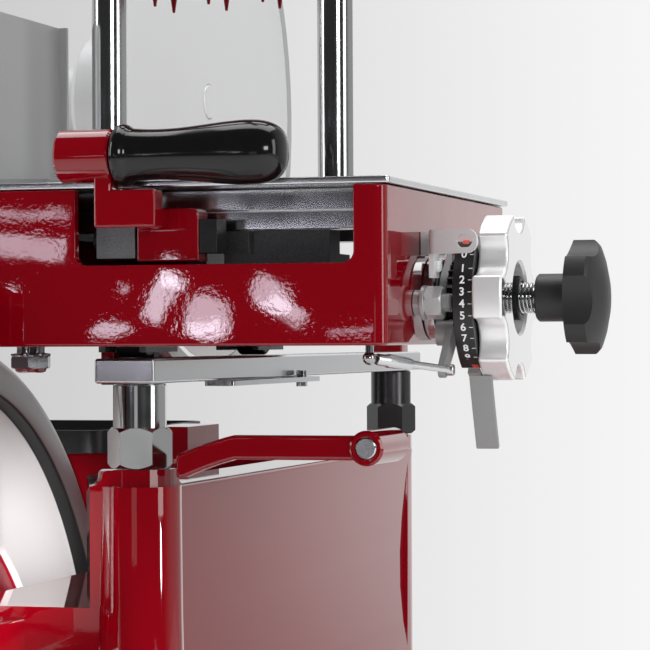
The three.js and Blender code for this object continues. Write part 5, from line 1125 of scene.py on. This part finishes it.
# %% Spring
SPRING_FROM, SPRING_TO, WIRE, SPRING_OUTSIDE, TURNS = 36.8, 48.4, 1.1, 14.0, 6
let_go()
bpy.ops.mesh.primitive_circle_add(vertices=14, radius=WIRE / 2 * MM, rotation=(math.pi / 2, 0, 0))
spring = bpy.context.object
settle(spring)
open_up(spring)
bpy.ops.transform.translate(value=(WIRE / 2 * MM, 0, (SPRING_OUTSIDE - WIRE) / 2 * MM))
close_up()
altered(spring, "winding", "SCREW", axis="X", steps=40, render_steps=40, iterations=TURNS,
        screw_offset=(SPRING_TO - SPRING_FROM - WIRE) / TURNS * MM)
open_up(spring)
bpy.ops.mesh.fill_holes(sides=0)
close_up()
spring.location = at(SPRING_FROM, SCREW_Y, SCREW_Z)
settle(spring)
mend(spring)
finished(spring, "knob_spring_wound", CHROME, "knob_spring", angle=50)

# %% [markdown]
# A bent strip holds a round window over the number in use. One small screw holds its root.

# %% Index bracket
EYE_Z, EYE_X0, EYE_X1 = 44.5, 24.9, 27.0
strip_line = ([(0.3, 72), (2.5, 72), (2.5, 62.2), (10.7, 62.2), (10.7, 41.6), (32.4, 34.8), (31.7, 32.7), (12.2, 38.8)]
              + bend((12.2, 38.8), (8.5, 40), (8.5, 43.5), 8)[1:] + [(8.5, 60), (0.3, 60)])
strip = pulled_up(strip_line, EYE_Z - 5.2, 10.4)
end_cutter = cut_away(brick(EYE_X1, 44, 10, 56, 34, 55), [rod_y(5.2, 0, 80, EYE_X1, EYE_Z, 96)])
window = [rod_y(2.7, 0, 56, x, EYE_Z, 64) for x in (EYE_X0, EYE_X1)]
window.append(brick(EYE_X0, EYE_X1, 0, 56, EYE_Z - 2.7, EYE_Z + 2.7))
strip = cut_away(strip, [end_cutter] + window)
strip = combine(strip, [brick(8.5, 10.7, 42, 52, 29, 42)])
ease(strip, 0.3, 3, 40)
strip_screw = turned([(0, 10.2), (2.6, 10.2), (2.6, 11.8), (2.0, 12.7), (0, 13.1)], "x", at(0, 47, 34), 48)
strip = combine(strip, [strip_screw])
finished(strip, "index_strip", LIGHT_SATIN, "index_bracket")

# %% [markdown]
# A stud stands out of the carriage's side, with a washer, a hexagon nut and a thread turned as fine rings.

# %% Stud with its nut
STUD_Y, STUD_Z = 50.5, 18.3
crests = [(3.4 if i % 2 else 4.0, 13.0 + i * 0.4) for i in range(1, 10)]
stud = turned([(0, -9), (3.2, -9), (4.0, -8.2), (4.0, 13.0), *crests, (3.2, 16.8), (2.8, 17), (0, 17)], "x",
              at(0, STUD_Y, STUD_Z), 48)
stud_washer = turned([(0, 0.3), (5.6, 0.3), (5.6, 3.6), (7.4, 3.6), (7.6, 3.8), (7.6, 5.2), (7.2, 5.5), (0, 5.5)],
                     "x", at(0, STUD_Y, STUD_Z), 64)
stud_nut = hex_nut("x", at(0, STUD_Y, STUD_Z), 13, 5.4, 13.0, 0.9)
stud = combine(stud, [stud_washer, stud_nut])
finished(stud, "stud_and_nut", PALE_SHEET, "stop_stud", angle=28)

# %% [markdown]
# The rocker that feeds the screw is a flat bar round it, with a long arm cranked out to just behind the
# number band. The link comes from a ball under the carriage and ends at the arm's pin.

# %% Feed rocker
ROCKER_X0, ROCKER_X1, ARM_X0, ARM_X1 = 6.7, 10.2, 12.1, 15.3
ROCKER_TIP = on_dial(47.0, 221.9)
PAWL_PIN = on_dial(24.0, 62.0)


def tapered(start, end, start_radius, end_radius, x, width):
    steps = 14
    dy, dz = end[0] - start[0], end[1] - start[1]
    heading = math.degrees(math.atan2(dz, dy))
    lean = math.degrees(math.asin((start_radius - end_radius) / math.hypot(dy, dz)))
    outline = (arc(*start, start_radius, heading + 90 - lean, heading + 270 + lean, steps)
               + arc(*end, end_radius, heading - 90 + lean, heading + 90 - lean, steps))
    return pulled_right(outline, x, width)


long_arm = tapered(on_dial(21.5, 221.9), ROCKER_TIP, 5.0, 3.4, ARM_X0, ARM_X1 - ARM_X0)
root_bar = tapered((SCREW_Y, SCREW_Z), on_dial(21.5, 221.9), 13.4, 5.0, ROCKER_X0, ROCKER_X1 - ROCKER_X0)
for bar in (long_arm, root_bar):
    ease(bar, 0.35)
step_y, step_z = on_dial(23.0, 221.9)
step = cut_away(rod_x(5.6, ROCKER_X0 + 0.4, ARM_X1 - 0.4, step_y, step_z, 48),
               [screw_rod(18.2, 10.4, 15.8, 96)])
pawl_bar = tapered((SCREW_Y, SCREW_Z), PAWL_PIN, 14, 4.5, ROCKER_X0 + 0.1, ROCKER_X1 - ROCKER_X0 - 0.2)
rocker = combine(root_bar, [pawl_bar, step, long_arm, rod_x(2.2, 9, 15.6, *PAWL_PIN, 32),
                            rod_x(2, ARM_X0, ARM_X1 + 0.1, *ROCKER_TIP, 32)])
rocker = cut_away(rocker, [screw_rod(7.3, 0, 12)])
finished(rocker, "feed_rocker_bar", SATIN_GREY, "feed_rocker")

# %% Link
BALL = Vector((-9.4, 9.2, -5.4))
pull = Vector((17.4, *ROCKER_TIP)) - BALL
reach = pull.length
socket = [(0, 3.6), (2.2, 3.6), (2.5, 4.4), (2.5, 9), (3.0, 10), (2.7, 20.5), (2.2, 22.6), (1.6, 23),
          (1.6, reach - 2), (0, reach - 2)]
link = turned(socket, "x", at(*BALL), 64, along=pull.normalized())
link = combine(link, [turned([(0, 15.6), (2.2, 15.6), (2.5, 15.9), (2.5, 18.4), (2.2, 18.7), (0, 18.7)], "x",
                             at(0, *ROCKER_TIP), 48)])
finished(link, "feed_link", MACHINED, "link_rod", angle=40)

# %% [markdown]
# What hasn't been drawn anew is a copy of its solid, with the finish of its slot or one of its own. The
# knife's carrier gets a second, paler finish on its upper half.

# %% Every other solid, eased and finished
FINISH_OF = {
    "red_enamel": ENAMEL, "rubber": RUBBER, "polished_steel": POLISHED, "chrome_plate": CHROME,
    "brushed_steel": MACHINED, "stainless_sheet": SHEET, "cast_iron": IRON, "black_steel": DARK_STEEL,
    "black_plastic": GLOSS_BLACK, "black_enamel": DIAL_BLACK, "bronze": BRONZE, "grindstone": STONE}
# The slice tray's blackened steel is painted shade: it is seen edge-on in the machine's shadow.
OWN_FINISH = {
    "table_bracket": ROUGH_IRON, "half_nut": DARK_STEEL, "slice_tray": DARK_STEEL, "meat_fence": PALE_SHEET,
    "knife": BRIGHT_SHEET, "knife_shaft": BRIGHT_SHEET, "feed_lever": GREY_PLATE, "rail": GROUND}
already = {n for o in bpy.data.objects for n in o.get("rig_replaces", [])}
for node in sorted(set(nodes) - already):
    eased(node, OWN_FINISH.get(node, FINISH_OF[slot_of[node]]))

# %% The carrier's slide
SLIDE_Z = -20
carrier = bpy.data.objects["knife_carrier_look"].data
carrier.materials.append(LIGHT_SATIN)
for side in carrier.polygons:
    if side.center.z > at(0, 0, SLIDE_Z).z:
        side.material_index = 1
print("carrier's slide above", SLIDE_Z, "mm")

# %% Last update of the scene
bpy.context.view_layer.update()
